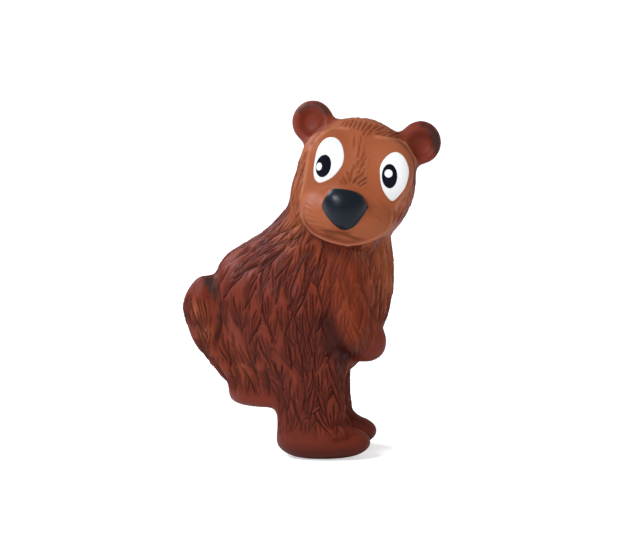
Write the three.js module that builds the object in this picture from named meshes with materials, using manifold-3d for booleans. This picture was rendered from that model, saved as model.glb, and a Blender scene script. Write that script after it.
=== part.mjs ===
// A squeaking latex dog toy: a bear cub that stands on its hind feet, leans forward and looks round to
// its right. The skin is one hollow moulding of soft latex. It is stuffed with polyester fibre, and the
// hole under the rump, where the latex was poured out of the mould, is closed by a plastic squeaker. Eyes
// and nose are painted on. Millimetres, +Z up, the cub's chest faces +X and its face looks along -Y.
import * as THREE from "three";
import { mergeVertices } from "three/addons/utils/BufferGeometryUtils.js";
import Module from "manifold-3d";

const wasm = await Module();
wasm.setup();

// Driving dimensions.
const hipHeight = 58.9; // floor to the middle of the rump
const stance = 32; // between the middles of the two feet
const headTurn = THREE.MathUtils.degToRad(3); // the face's turn from square to the side
const headLift = THREE.MathUtils.degToRad(9); // the face looks up by this much
const headTilt = THREE.MathUtils.degToRad(10.5); // the crown leans towards the chest
const clearance = 0.3; // between pieces that touch
const overrun = 5; // every cutting solid runs past the surface that it cuts

// The wall of the moulding, and what lies on either side of it.
const wall = 2.6;
const fibreGap = 0.8;
const paintCoat = 0.4;
const soleTrim = 0.6; // taken off flat under the feet
const soleEdge = 3; // how softly the soles turn up at their edges

// Fillets where masses of the sculpture run into each other.
const trunkFillet = 12;
const limbFillet = 4;
const tailFillet = 3;
const neckFillet = 5;
const faceFillet = 5;
const earFillet = 4;
const creaseFillet = 0.8;

// How finely surfaces are cut into facets. These are counts, so they hold at any size.
const skinCellsUp = 104;
const cavityCellsUp = 40;
const skinFacets = 11000;
const cavityFacets = 1200;
const headDetail = 3.5; // how much more a facet counts on the head than on the body
const settleRounds = 3;
const tailSteps = 8;
const coatSegments = 24;
const coatRings = 2;
const glintSegments = 14;
const noseRings = 6;
const roundSegments = 32;
const holeSegments = 12;

// A mass of the sculpture is an egg, given by its middle and its size. A point on it is placed by shares of
// its radii from its middle.
const mass = (middle, { length, width, height }) => ({
  middle,
  radii: new THREE.Vector3(length, width, height).divideScalar(2),
});
const ball = (diameter) => ({ length: diameter, width: diameter, height: diameter });
const on = (body, [x, y, z]) => new THREE.Vector3(x, y, z).multiply(body.radii).add(body.middle);

// Trunk. The rump carries the rest.
const rumpSize = { length: 68, width: 66, height: 68 };
const chestSize = { length: 47, width: 52, height: 62 };
const loinDiameter = 62.6;
const neckDiameter = 48.5;
const hipSize = { length: 28, width: 44, height: 30 };
const rump = mass(new THREE.Vector3(0, 0, hipHeight), rumpSize);
const chestShares = [0.63, -0.03, 0.53];
const chest = mass(on(rump, chestShares), chestSize);
const loinShares = [0.06, 0, 0.39];
const loin = mass(on(rump, loinShares), ball(loinDiameter));
const neckShares = [0.49, -0.05, 1.1];
const neck = mass(on(rump, neckShares), ball(neckDiameter));
const hipShares = [-0.61, 0, 0.43];
const hip = mass(on(rump, hipShares), hipSize);

// Head, in its own frame: its middle is the origin, the face looks along -Y, X runs to the cub's left.
const headShares = [0.48, -0.25, 1.1]; // of the neck
const skullSize = { length: 53.8, width: 49, height: 57.4 };
const cheekSize = { length: 48, width: 43, height: 31 };
const muzzleSize = { length: 41.5, width: 37, height: 25 };
const jawSize = { length: 32, width: 30, height: 15 };
const browSize = { length: 21, width: 17, height: 27 };
const skull = mass(new THREE.Vector3(), skullSize);
const cheekShares = [-0.12, 0.02, -0.36];
const cheeks = mass(on(skull, cheekShares), cheekSize);
const muzzleShares = [-0.02, -0.62, -0.57];
const muzzle = mass(on(skull, muzzleShares), muzzleSize);
const jawShares = [0.04, 0.12, -0.55];
const jaw = mass(on(muzzle, jawShares), jawSize);
const browShares = [0.56, -0.62, 0.24];

// Nose: three balls at the corners of a rounded triangle on the front of the muzzle.
const nosePad = { length: 19.4, width: 12, height: 17.6 };
const noseShares = [-0.07, -0.82, 0.3]; // of the muzzle
const noseTopCorner = 12;
const noseLowCorner = 9.4;
const noseFillet = 8;
const noseWrap = THREE.MathUtils.degToRad(66); // how far the lacquer reaches round from the front

// Ears: a thick round leaf each, with a shallow cup in front.
const ear = { length: 19.6, width: 8, height: 20 };
const earCup = { length: 13, width: 6, height: 14 };
const earShares = { right: [-0.88, 0.1, 0.78], left: [0.93, 0.1, 0.78] };
const earTurn = THREE.MathUtils.degToRad(14);

// Arms: upper arm, forearm and a paw that lies on the belly.
const armDiameter = 20.5;
const wristDiameter = 17;
const paw = { length: 16, width: 14, height: 17 };
const shoulderShares = [0.12, 0.72, 0.34]; // these four are of the chest
const elbowShares = [0.18, 0.88, -0.59];
const nearPawShares = [0.52, 0.5, -0.81];
const farPawShares = [0.34, 0.5, -0.81];

// Legs and feet.
const leg = { length: 30.8, width: 28 };
const foot = { length: 42.4, width: 28, height: 17 };
const footForward = 5.5; // how far the foot's middle lies in front of the leg's
const legShares = [0.28, 0, -0.2];
const footRiseShare = 0.83; // height of the middle of the foot, in shares of half the foot's height

// Tail: a short leaf that grows from the rump and points up along the back.
const tailRootDiameter = 20;
const tailWidth = 16;
const tailTipDiameter = 10;
const tailRootShares = [-0.76, -0.1, -0.52];
const tailBendShares = [-1.19, -0.2, 0.13];
const tailTipShares = [-1.14, -0.22, 0.49];

// Fur: carved locks in rows that lie like tiles on a roof, down the trunk, the legs and the tail.
const lockSpacing = 7.2; // between the middles of neighbouring locks
const lockLength = 16;
const lockRowSpacing = 8.6;
const lockRise = 0.5; // how much higher a lock's tip lies than its root
const lockCrown = 0.3; // how much higher its middle lies than its edges
const lockSink = 0.4; // takes the carving back to the size of the bare moulding
const lockEdge = 0.4; // half the width over which its edge falls to the lock below
const rootFadeShare = 0.35; // how far above its root a lock begins, in shares of its length
const grooveDepth = 0.9;
const grooveHalfWidth = 1.3;
const strayShare = 0.2; // how far a lock strays from its place, in shares of the spacing
const strayRowStep = 12.9898; // these three mix a lock's row and column into a number
const strayColumnStep = 78.233;
const strayScale = 43758.5453;
const bendShare = 0.3; // how far its tip bends aside, in shares of its width
const armFurShare = 0.45; // the arms are carved less deeply
const furEdge = 6; // over which the carving fades out
const ankleHeight = 12; // the feet are smooth below it
const trunkEndShares = [0.28, 0, -0.75]; // of the rump, where its last row lies
const lockReach = 12; // from a lock's middle to anything it carves

// Pouring neck: the boss under the rump that carries the squeaker.
const bossDiameter = 37;
const bossEdge = 5; // radius of its lower edge
const bossShares = [-0.31, 0, -1.1];

// Paint outlines, as seen from the front of the head. A place is in shares of what it lies on.
const eye = { length: 12.2, height: 20.8 };
const eyeShares = { right: [-0.47, 0.26], left: [0.63, 0.21] };
const eyeLean = THREE.MathUtils.degToRad(3); // the tops lean together
const eyeTaperShare = 0.3; // how much narrower the lower end is than the upper
const pupil = { length: 6.6, height: 10.4 };
const gazeShares = { right: [-0.24, -0.28], left: [-0.24, -0.11] };
const glint = { length: 2.8, height: 3.6 };
const glintShares = { right: [-0.36, -0.1], left: [-0.2, 0.24] };

// Squeaker plug: a cup that snaps into the boss. Its heights run up from the flange's outer face.
const flangeDiameter = 22;
const flangeThickness = 1.4;
const flangeRecess = 1; // round the flange
const seatThickness = 3; // latex that the plug snaps round
const seatPad = 2.6; // latex round the flange's recess, inside
const plugDiameter = 15;
const plugHeight = 16;
const plugWall = 1.3;
const plugFloor = 1.4;
const lipReach = 1.2; // how far the lip stands out over the seat
const lipHeight = 1.4;
const lipTaper = 1.2;
const ventDiameter = 3;
const socketDepth = 3.6;
const socketWall = 0.9;

// Squeaker lid: it keeps the fibre out of the cup and lets the air through.
const lidThickness = 1.2;
const lidSkirt = 2.6;
const lidSkirtWall = 1;
const lidHoleDiameter = 1.8;
const lidHoleCount = 6;
const lidHoleRingShare = 0.58; // of the skirt's inner radius

// Reed: a strip held between two half rounds that stand in the socket.
const stemDiameter = 6.4;
const reedSeatHeight = 11.2;
const reedClampHeight = 4.6;
const reedWidth = 3;
const reedThickness = 0.2;
const reedHeight = 9.6;
const reedPlay = 0.25; // on each face of the strip inside the clamp
const reedRelief = 0.7; // how far the seat falls back above the clamp
const channelWidth = 1.6;
const channelDepth = 1.1;

// Distance fields. Each gives the distance from a point to a surface, and is negative inside it.
function egg({ middle, radii }) {
  return (x, y, z) => {
    const dx = (x - middle.x) / radii.x;
    const dy = (y - middle.y) / radii.y;
    const dz = (z - middle.z) / radii.z;
    const size = Math.hypot(dx, dy, dz);
    const slope = Math.hypot(dx / radii.x, dy / radii.y, dz / radii.z);
    return slope === 0 ? -radii.x : (size * (size - 1)) / slope;
  };
}

// A limb that runs from one ball to the next, flattened across Y where asked.
function limb(from, to, startRadius, endRadius, flatten = 1) {
  const axis = to.clone().sub(from);
  axis.y /= flatten;
  const lengthSquared = axis.lengthSq();
  return (x, y, z) => {
    const px = x - from.x;
    const py = (y - from.y) / flatten;
    const pz = z - from.z;
    const along = (px * axis.x + py * axis.y + pz * axis.z) / lengthSquared;
    const t = Math.min(1, Math.max(0, along));
    const reach = Math.hypot(px - t * axis.x, py - t * axis.y, pz - t * axis.z);
    return (reach - startRadius - t * (endRadius - startRadius)) * flatten;
  };
}

// An upright round boss with a flat end below and a rounded lower edge.
function boss(bottom, radius, edge, top) {
  const halfHeight = (top - bottom.z) / 2;
  return (x, y, z) => {
    const out = Math.hypot(x - bottom.x, y - bottom.y) - radius + edge;
    const up = Math.abs(z - bottom.z - halfHeight) - halfHeight + edge;
    return Math.min(Math.max(out, up), 0) + Math.hypot(Math.max(out, 0), Math.max(up, 0)) - edge;
  };
}

// Joins and cuts with a fillet of the given radius.
function soften(a, b, fillet) {
  const near = Math.max(fillet - Math.abs(a - b), 0);
  return Math.min(a, b) - (near * near) / (4 * fillet);
}
const blend = (fillet, first, ...others) => (x, y, z) =>
  others.reduce((sum, field) => soften(sum, field(x, y, z), fillet), first(x, y, z));
const carve = (fillet, field, tool) => (x, y, z) => -soften(-field(x, y, z), tool(x, y, z), fillet);
const inset = (field, depth) => (x, y, z) => field(x, y, z) + depth;

// A field made in a frame of its own, read from the frame that carries it.
function placed(field, frame) {
  const e = frame.clone().invert().elements;
  return (x, y, z) =>
    field(
      e[0] * x + e[4] * y + e[8] * z + e[12],
      e[1] * x + e[5] * y + e[9] * z + e[13],
      e[2] * x + e[6] * y + e[10] * z + e[14],
    );
}

// Head.
const [browOut, ...browPlace] = browShares;
const browField = (side) => egg(mass(on(skull, [side * browOut, ...browPlace]), browSize));
const faceField = blend(faceFillet, egg(skull), egg(cheeks), browField(-1), browField(1), egg(muzzle));

function earField([out, back, up]) {
  const place = on(skull, [out, back, up]);
  const root = on(skull, [out / 2, back, up / 2]);
  const frame = new THREE.Matrix4().makeRotationZ(Math.sign(out) * earTurn).setPosition(place);
  const leaf = egg(mass(new THREE.Vector3(), ear));
  const cup = egg(mass(new THREE.Vector3(0, -ear.width / 2, 0), earCup));
  const stalk = limb(place, root, ear.width / 2, ear.length / 2);
  return carve(creaseFillet, blend(earFillet, placed(leaf, frame), stalk), placed(cup, frame));
}

const noseMiddle = on(muzzle, noseShares);
const noseField = blend(
  noseFillet,
  ...[
    [-1, 1, noseTopCorner],
    [1, 1, noseTopCorner],
    [0, -1, noseLowCorner],
  ].map(([across, up, corner]) => {
    const reach = new THREE.Vector3(nosePad.length - corner, 0, nosePad.height - corner).divideScalar(2);
    const middle = new THREE.Vector3(across, 0, up).multiply(reach).add(noseMiddle);
    return egg(mass(middle, { length: corner, width: nosePad.width, height: corner }));
  }),
);

const headFrame = new THREE.Matrix4()
  .makeRotationFromEuler(new THREE.Euler(-headLift, headTilt, headTurn, "ZXY"))
  .setPosition(on(neck, headShares));
const chinField = blend(creaseFillet, faceField, egg(jaw));
const earedField = blend(earFillet, chinField, earField(earShares.right), earField(earShares.left));
const headField = blend(creaseFillet, earedField, noseField);

// Body.
const mirrored = (point, side) => new THREE.Vector3(point.x, side * point.y, point.z);

function armField(side) {
  const shoulder = mirrored(on(chest, shoulderShares), side);
  const elbow = mirrored(on(chest, elbowShares), side);
  const hand = mirrored(on(chest, side < 0 ? nearPawShares : farPawShares), side);
  return blend(
    limbFillet,
    limb(shoulder, elbow, armDiameter / 2, armDiameter / 2),
    limb(elbow, hand, armDiameter / 2, wristDiameter / 2),
    egg(mass(hand, paw)),
  );
}

const legTop = on(rump, legShares);
const soleMiddle = new THREE.Vector3(legTop.x + footForward, 0, (footRiseShare * foot.height) / 2);

function legField(side) {
  const across = (side * stance) / 2;
  const top = legTop.clone().setY(across);
  const heel = new THREE.Vector3(top.x, across, leg.length / 2);
  const footMiddle = soleMiddle.clone().setY(across);
  return blend(
    limbFillet,
    limb(top, heel, leg.length / 2, leg.length / 2, leg.width / leg.length),
    egg(mass(footMiddle, foot)),
  );
}

const tailBend = on(rump, tailBendShares);
const tailCurve = new THREE.CatmullRomCurve3([on(rump, tailRootShares), tailBend, on(rump, tailTipShares)]);
const tailPoints = tailCurve.getPoints(tailSteps);
const tailRadii = tailPoints.map((_, i) => {
  const along = (2 * i) / tailSteps;
  const [from, to] = along < 1 ? [tailRootDiameter, tailWidth] : [tailWidth, tailTipDiameter];
  return THREE.MathUtils.lerp(from, to, along % 1 || Math.floor(along / 2)) / 2;
});
const tailField = blend(
  tailFillet,
  ...tailPoints.slice(1).map((point, i) => limb(tailPoints[i], point, tailRadii[i], tailRadii[i + 1])),
);

const bossBottom = on(rump, bossShares);
const bossField = boss(bossBottom, bossDiameter / 2, bossEdge, rump.middle.z);
const spineField = limb(loin.middle, neck.middle, loin.radii.x, neck.radii.x);
const trunkField = blend(trunkFillet, egg(rump), spineField, egg(chest), egg(hip));
const legsField = blend(limbFillet, trunkField, legField(-1), legField(1), bossField);
const bodyField = blend(tailFillet, legsField, tailField, armField(-1), armField(1));
const onFloor = (field) => (x, y, z) => -soften(-field(x, y, z), z + soleTrim, soleEdge);
const skinField = onFloor(blend(neckFillet, bodyField, placed(headField, headFrame)));
const coreField = onFloor(blend(neckFillet, bodyField, placed(faceField, headFrame)));

// Fur. A spine runs inside each furred part, and rows of locks lie round it. Each lock points to
// where the next row is. A number made from its row and column moves it a little from its place.
function stray(row, column) {
  const turn = strayRowStep * (row + 1) + strayColumnStep * (column + 1);
  const value = Math.sin(turn) * strayScale;
  return 2 * (value - Math.floor(value)) - 1;
}

// The point of the bare surface that is met on the way out from a point inside it.
function wayOut(from, towards) {
  const at = (reach) => from.clone().addScaledVector(towards, reach);
  let [close, far] = [0, 1];
  while (skinField(...at(far)) < 0) [close, far] = [far, far + 1];
  while (far - close > probe) {
    const middle = (close + far) / 2;
    if (skinField(...at(middle)) < 0) close = middle;
    else far = middle;
  }
  return at(close);
}

function locksRound(points, radius) {
  const spine = new THREE.CatmullRomCurve3(points);
  const length = spine.getLength();
  const columns = Math.round((2 * Math.PI * radius) / lockSpacing);
  const rootAt = (reach, turn) => {
    const along = spine.getTangentAt(Math.min(reach / length, 1));
    const near = new THREE.Vector3(0, -1, 0).projectOnPlane(along).normalize();
    return wayOut(spine.getPointAt(Math.min(reach / length, 1)), near.applyAxisAngle(along, turn));
  };
  const locks = [];
  for (let row = 0; row < length / lockRowSpacing; row++) {
    for (let column = 0; column < columns; column++) {
      const place = column + (row % 2) / 2 + strayShare * stray(row, column);
      const turn = (2 * Math.PI * place) / columns;
      const reach = Math.max(0, row + strayShare * stray(column, row)) * lockRowSpacing;
      const root = rootAt(reach, turn);
      const normal = slopeOf(skinField, root).normalize();
      const ahead = rootAt(reach + lockRowSpacing / 2, turn).sub(root);
      const below = spine.getTangentAt(Math.min(reach / length, 1)).multiplyScalar(probe);
      const run = ahead.add(below).projectOnPlane(normal).normalize();
      const side = new THREE.Vector3().crossVectors(normal, run);
      const depth = root.distanceTo(spine.getPointAt(Math.min(reach / length, 1)));
      const width = (2 * Math.PI * depth) / columns;
      const bend = bendShare * width * stray(row + column, column);
      locks.push({ root, normal, run, side, width, bend });
    }
  }
  return locks.reverse();
}

// How deep the carving lies below the bare surface. Every lock is laid over those of the rows below it.
function carvingOf(locks) {
  const buckets = new Map();
  const bucketOf = (value) => Math.floor(value / lockSpacing);
  for (const lock of locks) {
    const middle = lock.root.clone().addScaledVector(lock.run, lockLength / 2);
    const from = middle.clone().subScalar(lockReach);
    const to = middle.clone().addScalar(lockReach);
    for (let i = bucketOf(from.x); i <= bucketOf(to.x); i++) {
      for (let j = bucketOf(from.y); j <= bucketOf(to.y); j++) {
        for (let k = bucketOf(from.z); k <= bucketOf(to.z); k++) {
          const key = `${i},${j},${k}`;
          if (!buckets.has(key)) buckets.set(key, []);
          buckets.get(key).push(lock);
        }
      }
    }
  }
  const gap = new THREE.Vector3();
  return (x, y, z) => {
    let height = lockSink;
    let groove = 0;
    for (const lock of buckets.get(`${bucketOf(x)},${bucketOf(y)},${bucketOf(z)}`) ?? []) {
      gap.set(x, y, z).sub(lock.root);
      const along = gap.dot(lock.run) / lockLength;
      const lift = Math.abs(gap.dot(lock.normal));
      if (along < -rootFadeShare || along > 1 + rootFadeShare || lift > lockReach) continue;
      const across = Math.abs(gap.dot(lock.side) - lock.bend * along * along);
      const half = (lock.width / 2) * Math.max(0, 1 - Math.max(0, along) ** 2);
      const inward = along < 1 ? half - across : -Math.hypot(across, (along - 1) * lockLength);
      const rooted = THREE.MathUtils.smoothstep(along, -rootFadeShare, 0);
      const crown = 1 - Math.min(1, across / Math.max(half, lockEdge)) ** 2;
      const over = rooted * THREE.MathUtils.smoothstep(inward, -lockEdge, lockEdge);
      height = THREE.MathUtils.lerp(height, lockRise * along + lockCrown * crown, over);
      const begun = THREE.MathUtils.smoothstep(along, 0, rootFadeShare);
      const edge = begun * Math.exp(-((inward / grooveHalfWidth) ** 2));
      const covered = rooted * THREE.MathUtils.smoothstep(inward, 0, grooveHalfWidth);
      groove = Math.max(groove * (1 - covered), edge);
    }
    return lockSink - height + grooveDepth * groove;
  };
}

// The share of the carving at a point: none on the head, the paws, the feet and the boss, and less
// on the arms.
const bothPaws = [mirrored(on(chest, nearPawShares), -1), mirrored(on(chest, farPawShares), 1)];
const bothArms = [armField(-1), armField(1)];
function furShare(x, y, z) {
  const from = (value, edge) => THREE.MathUtils.smoothstep(value, edge, edge + furEdge);
  const point = new THREE.Vector3(x, y, z);
  const offHead = from(point.distanceTo(headMiddle), skull.radii.z - furEdge);
  const offPaws = from(Math.min(...bothPaws.map((middle) => point.distanceTo(middle))), paw.height / 2);
  const besideBoss = from(Math.hypot(x - bossBottom.x, y - bossBottom.y), bossDiameter / 2);
  const overBoss = from(z, rump.middle.z - rump.radii.z + bossEdge);
  const offBoss = Math.max(besideBoss, overBoss);
  const offFeet = from(z, ankleHeight);
  const offArms = from(Math.min(...bothArms.map((arm) => arm(x, y, z))), 0);
  return offHead * offPaws * offBoss * offFeet * THREE.MathUtils.lerp(armFurShare, 1, offArms);
}

// A box that holds the whole sculpture.
const skinBox = new THREE.Box3();
const headMiddle = new THREE.Vector3().setFromMatrixPosition(headFrame);
const toeTip = soleMiddle.clone().add(new THREE.Vector3(foot.length, foot.width, 0).divideScalar(2));
for (const [middle, reach] of [
  [rump.middle, rump.radii.x],
  [rump.middle, rump.radii.y],
  [chest.middle, chest.radii.z],
  [headMiddle, skull.radii.z + ear.height],
  [tailBend, tailWidth],
  [toeTip.clone().setY(toeTip.y + stance / 2), wall],
  [toeTip.clone().setY(-toeTip.y - stance / 2), wall],
]) {
  skinBox.expandByPoint(middle.clone().subScalar(reach + wall));
  skinBox.expandByPoint(middle.clone().addScalar(reach + wall));
}
skinBox.min.z = -soleTrim - wall;

// Surfaces. A surface is a list of points and a list of triangles, which face outwards.
// A corner of a grid cube is numbered by the steps that lead to it: 1 along X, 2 along Y and 4 along Z.
// Each order of taking the three steps passes the corners of one tetrahedron, and the six fill the cube.
const cubeCorners = [];
for (const z of [0, 1]) for (const y of [0, 1]) for (const x of [0, 1]) cubeCorners.push([x, y, z]);
const tetrahedra = [];
for (const first of [1, 2, 4])
  for (const second of [1, 2, 4])
    if (first !== second) tetrahedra.push([0, first, first + second, 7]);
const leastShare = 0.05; // no point lies nearer than this to a grid point, in shares of an edge

function surfaceOf(field, box, cell) {
  const [nx, ny, nz] = box.getSize(new THREE.Vector3()).toArray().map((side) => Math.ceil(side / cell) + 1);
  const index = (i, j, k) => i + nx * (j + ny * k);
  const at = (i, j, k) => new THREE.Vector3(i, j, k).multiplyScalar(cell).add(box.min);
  const values = new Float64Array(nx * ny * nz);
  for (let k = 0; k < nz; k++)
    for (let j = 0; j < ny; j++)
      for (let i = 0; i < nx; i++) values[index(i, j, k)] = field(...at(i, j, k)) || cell * Number.EPSILON;

  const points = [];
  const faces = [];
  const found = new Map();
  const crossing = (inner, outer) => {
    const key = inner.id * values.length + outer.id;
    if (!found.has(key)) {
      const share = inner.value / (inner.value - outer.value);
      const t = Math.min(1 - leastShare, Math.max(leastShare, share));
      found.set(key, points.length);
      points.push(inner.place.clone().lerp(outer.place, t));
    }
    return found.get(key);
  };
  const addFace = (a, b, c, outwards) => {
    const normal = new THREE.Triangle(points[a], points[b], points[c]).getNormal(new THREE.Vector3());
    faces.push(normal.dot(outwards) > 0 ? [a, b, c] : [a, c, b]);
  };
  const addTetrahedron = (corners) => {
    const inside = corners.filter((c) => c.value < 0);
    const outside = corners.filter((c) => c.value >= 0);
    if (!inside.length || !outside.length) return;
    const outwards = outside.at(-1).place.clone().sub(inside[0].place);
    if (inside.length === 1) addFace(...outside.map((c) => crossing(inside[0], c)), outwards);
    if (outside.length === 1) addFace(...inside.map((c) => crossing(c, outside[0])), outwards);
    if (inside.length === 2) {
      const [a, b] = outside.map((c) => crossing(inside[0], c));
      const [d, c] = outside.map((corner) => crossing(inside[1], corner));
      addFace(a, b, c, outwards);
      addFace(a, c, d, outwards);
    }
  };
  for (let k = 0; k < nz - 1; k++)
    for (let j = 0; j < ny - 1; j++)
      for (let i = 0; i < nx - 1; i++) {
        const ids = cubeCorners.map(([a, b, c]) => index(i + a, j + b, k + c));
        const insides = ids.filter((id) => values[id] < 0).length;
        if (insides === 0 || insides === ids.length) continue;
        const corners = cubeCorners.map(([a, b, c], n) => ({
          id: ids[n],
          value: values[ids[n]],
          place: at(i + a, j + b, k + c),
        }));
        for (const tetrahedron of tetrahedra) addTetrahedron(tetrahedron.map((n) => corners[n]));
      }
  return { points, faces };
}

// The direction in which a field grows, scaled so that its length is the growth in each unit of length.
const probe = 0.02;
function slopeOf(field, { x, y, z }) {
  return new THREE.Vector3(
    field(x + probe, y, z) - field(x - probe, y, z),
    field(x, y + probe, z) - field(x, y - probe, z),
    field(x, y, z + probe) - field(x, y, z - probe),
  ).divideScalar(2 * probe);
}

function neighboursOf({ points, faces }) {
  const neighbours = points.map(() => new Set());
  for (const [a, b, c] of faces) {
    neighbours[a].add(b).add(c);
    neighbours[b].add(a).add(c);
    neighbours[c].add(a).add(b);
  }
  return neighbours;
}

// Evens out a surface's triangles: each point slides to the middle of its neighbours and back onto
// the field.
function settle(surface, field, rounds) {
  const neighbours = neighboursOf(surface);
  for (let round = 0; round < rounds; round++) {
    const slid = surface.points.map((point, i) => {
      const middle = new THREE.Vector3();
      for (const n of neighbours[i]) middle.add(surface.points[n]);
      return middle.divideScalar(neighbours[i].size).lerp(point, 0.5);
    });
    slid.forEach((point, i) => {
      const slope = slopeOf(field, point);
      surface.points[i] = point.addScaledVector(slope, -field(...point) / slope.lengthSq());
    });
  }
  return surface;
}

// Fewer, larger triangles: the edge whose loss moves the surface least goes first, while the surface stays
// closed and no triangle turns over.
const flatShare = 1e-5; // below this share of its size a corner counts as flat
const leastFacing = 0.4; // least cosine between a triangle and what it becomes

function thin({ points, faces }, facesWanted, weight = () => 1) {
  const corners = faces.map((face) => [...face]);
  const around = points.map(() => new Set());
  const quadrics = points.map(() => new Float64Array(10));
  const triangle = new THREE.Triangle();
  const normalOf = ([a, b, c]) => {
    triangle.set(points[a], points[b], points[c]);
    return triangle.getNormal(new THREE.Vector3());
  };
  corners.forEach((face, id) => {
    const { x, y, z } = normalOf(face);
    const d = -(x * points[face[0]].x + y * points[face[0]].y + z * points[face[0]].z);
    const size = triangle.getArea() * weight(points[face[0]]);
    const terms = [x * x, x * y, x * z, x * d, y * y, y * z, y * d, z * z, z * d, d * d];
    for (const v of face) {
      around[v].add(id);
      terms.forEach((term, i) => (quadrics[v][i] += term * size));
    }
  });
  const neighboursAt = (v) => new Set([...around[v]].flatMap((id) => corners[id]).filter((w) => w !== v));
  const cost = (q, { x, y, z }) =>
    q[0] * x * x + q[4] * y * y + q[7] * z * z + q[9] +
    2 * (q[1] * x * y + q[2] * x * z + q[5] * y * z + q[3] * x + q[6] * y + q[8] * z);
  const system = new THREE.Matrix3();
  const bestPlace = (q, from, to) => {
    const middle = from.clone().lerp(to, 0.5);
    system.set(q[0], q[1], q[2], q[1], q[4], q[5], q[2], q[5], q[7]);
    if (Math.abs(system.determinant()) < flatShare * (q[0] + q[4] + q[7]) ** 3) return middle;
    const best = new THREE.Vector3(-q[3], -q[6], -q[8]).applyMatrix3(system.invert());
    return best.distanceTo(middle) < from.distanceTo(to) ? best : middle;
  };

  // The edges wait in a heap, cheapest on top. An entry is stale once either end has moved.
  const heap = [];
  const moves = new Int32Array(points.length);
  const push = (a, b) => {
    const q = quadrics[a].map((term, i) => term + quadrics[b][i]);
    const place = bestPlace(q, points[a], points[b]);
    const entry = { a, b, place, price: cost(q, place), movesA: moves[a], movesB: moves[b] };
    let i = heap.length;
    for (; i > 0 && heap[(i - 1) >> 1].price > entry.price; i = (i - 1) >> 1) heap[i] = heap[(i - 1) >> 1];
    heap[i] = entry;
  };
  const pop = () => {
    const top = heap[0];
    const last = heap.pop();
    let i = 0;
    while (heap.length) {
      let child = 2 * i + 1;
      if (child + 1 < heap.length && heap[child + 1].price < heap[child].price) child++;
      if (child >= heap.length || heap[child].price >= last.price) break;
      heap[i] = heap[child];
      i = child;
    }
    if (heap.length) heap[i] = last;
    return top;
  };
  const turnsOver = (v, other, place) =>
    [...around[v]].some((id) => {
      if (corners[id].includes(other)) return false;
      const before = normalOf(corners[id]);
      const kept = points[v];
      points[v] = place;
      const after = normalOf(corners[id]);
      points[v] = kept;
      return after.dot(before) < leastFacing;
    });
  points.forEach((_, v) => neighboursAt(v).forEach((w) => v < w && push(v, w)));
  let left = faces.length;
  while (left > facesWanted && heap.length) {
    const { a, b, place, movesA, movesB } = pop();
    if (!around[a].size || !around[b].size || movesA !== moves[a] || movesB !== moves[b]) continue;
    const besideB = neighboursAt(b);
    const shared = [...neighboursAt(a)].filter((v) => besideB.has(v)).length;
    if (shared !== 2 || turnsOver(a, b, place) || turnsOver(b, a, place)) continue;
    for (const id of around[b]) {
      if (corners[id].includes(a)) {
        for (const v of corners[id]) if (v !== b) around[v].delete(id);
        corners[id] = null;
        left--;
      } else {
        corners[id] = corners[id].map((v) => (v === b ? a : v));
        around[a].add(id);
      }
    }
    around[b].clear();
    points[a] = place;
    quadrics[b].forEach((term, i) => (quadrics[a][i] += term));
    moves[a]++;
    neighboursAt(a).forEach((v) => push(a, v));
  }
  const kept = corners.filter(Boolean);
  const used = [...new Set(kept.flat())];
  const renumbered = new Map(used.map((v, i) => [v, i]));
  return {
    points: used.map((v) => points[v]),
    faces: kept.map((face) => face.map((v) => renumbered.get(v))),
  };
}

// Solids.
function geometryFrom({ points, faces }) {
  const geometry = new THREE.BufferGeometry().setFromPoints(points);
  return geometry.setIndex(faces.flat());
}

function solidFrom(geometry) {
  const bare = geometry.clone();
  bare.deleteAttribute("normal");
  bare.deleteAttribute("uv");
  const merged = mergeVertices(bare);
  const vertProperties = merged.attributes.position.array;
  const triVerts = new Uint32Array(merged.index.array);
  return new wasm.Manifold(new wasm.Mesh({ numProp: 3, vertProperties, triVerts }));
}

// The largest closed body of a solid that booleans may have cut into several.
const largest = (solid) => solid.decompose().sort((a, b) => b.volume() - a.volume())[0];

function meshFrom(name, solid, look) {
  const { vertProperties, triVerts } = solid.getMesh();
  const geometry = new THREE.BufferGeometry();
  geometry.setAttribute("position", new THREE.BufferAttribute(new Float32Array(vertProperties), 3));
  geometry.setIndex(new THREE.BufferAttribute(new Uint32Array(triVerts), 1));
  geometry.computeVertexNormals();
  const mesh = new THREE.Mesh(geometry, new THREE.MeshStandardMaterial(look));
  mesh.name = name;
  return mesh;
}

// An upright round bar between two heights.
function bar(radius, from, to, segments = roundSegments) {
  const upright = new THREE.CylinderGeometry(radius, radius, to - from, segments).rotateX(Math.PI / 2);
  return solidFrom(upright.translate(0, 0, (from + to) / 2));
}

// A block between two corners.
function block(from, to) {
  const size = to.clone().sub(from);
  const middle = from.clone().lerp(to, 0.5);
  return solidFrom(new THREE.BoxGeometry(...size).translate(...middle));
}

// A turned piece, from its outline in radius and height.
function turnedPiece(outline) {
  const points = outline.map(([r, z]) => new THREE.Vector2(r, z));
  return solidFrom(new THREE.LatheGeometry(points, roundSegments).rotateX(Math.PI / 2));
}

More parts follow.
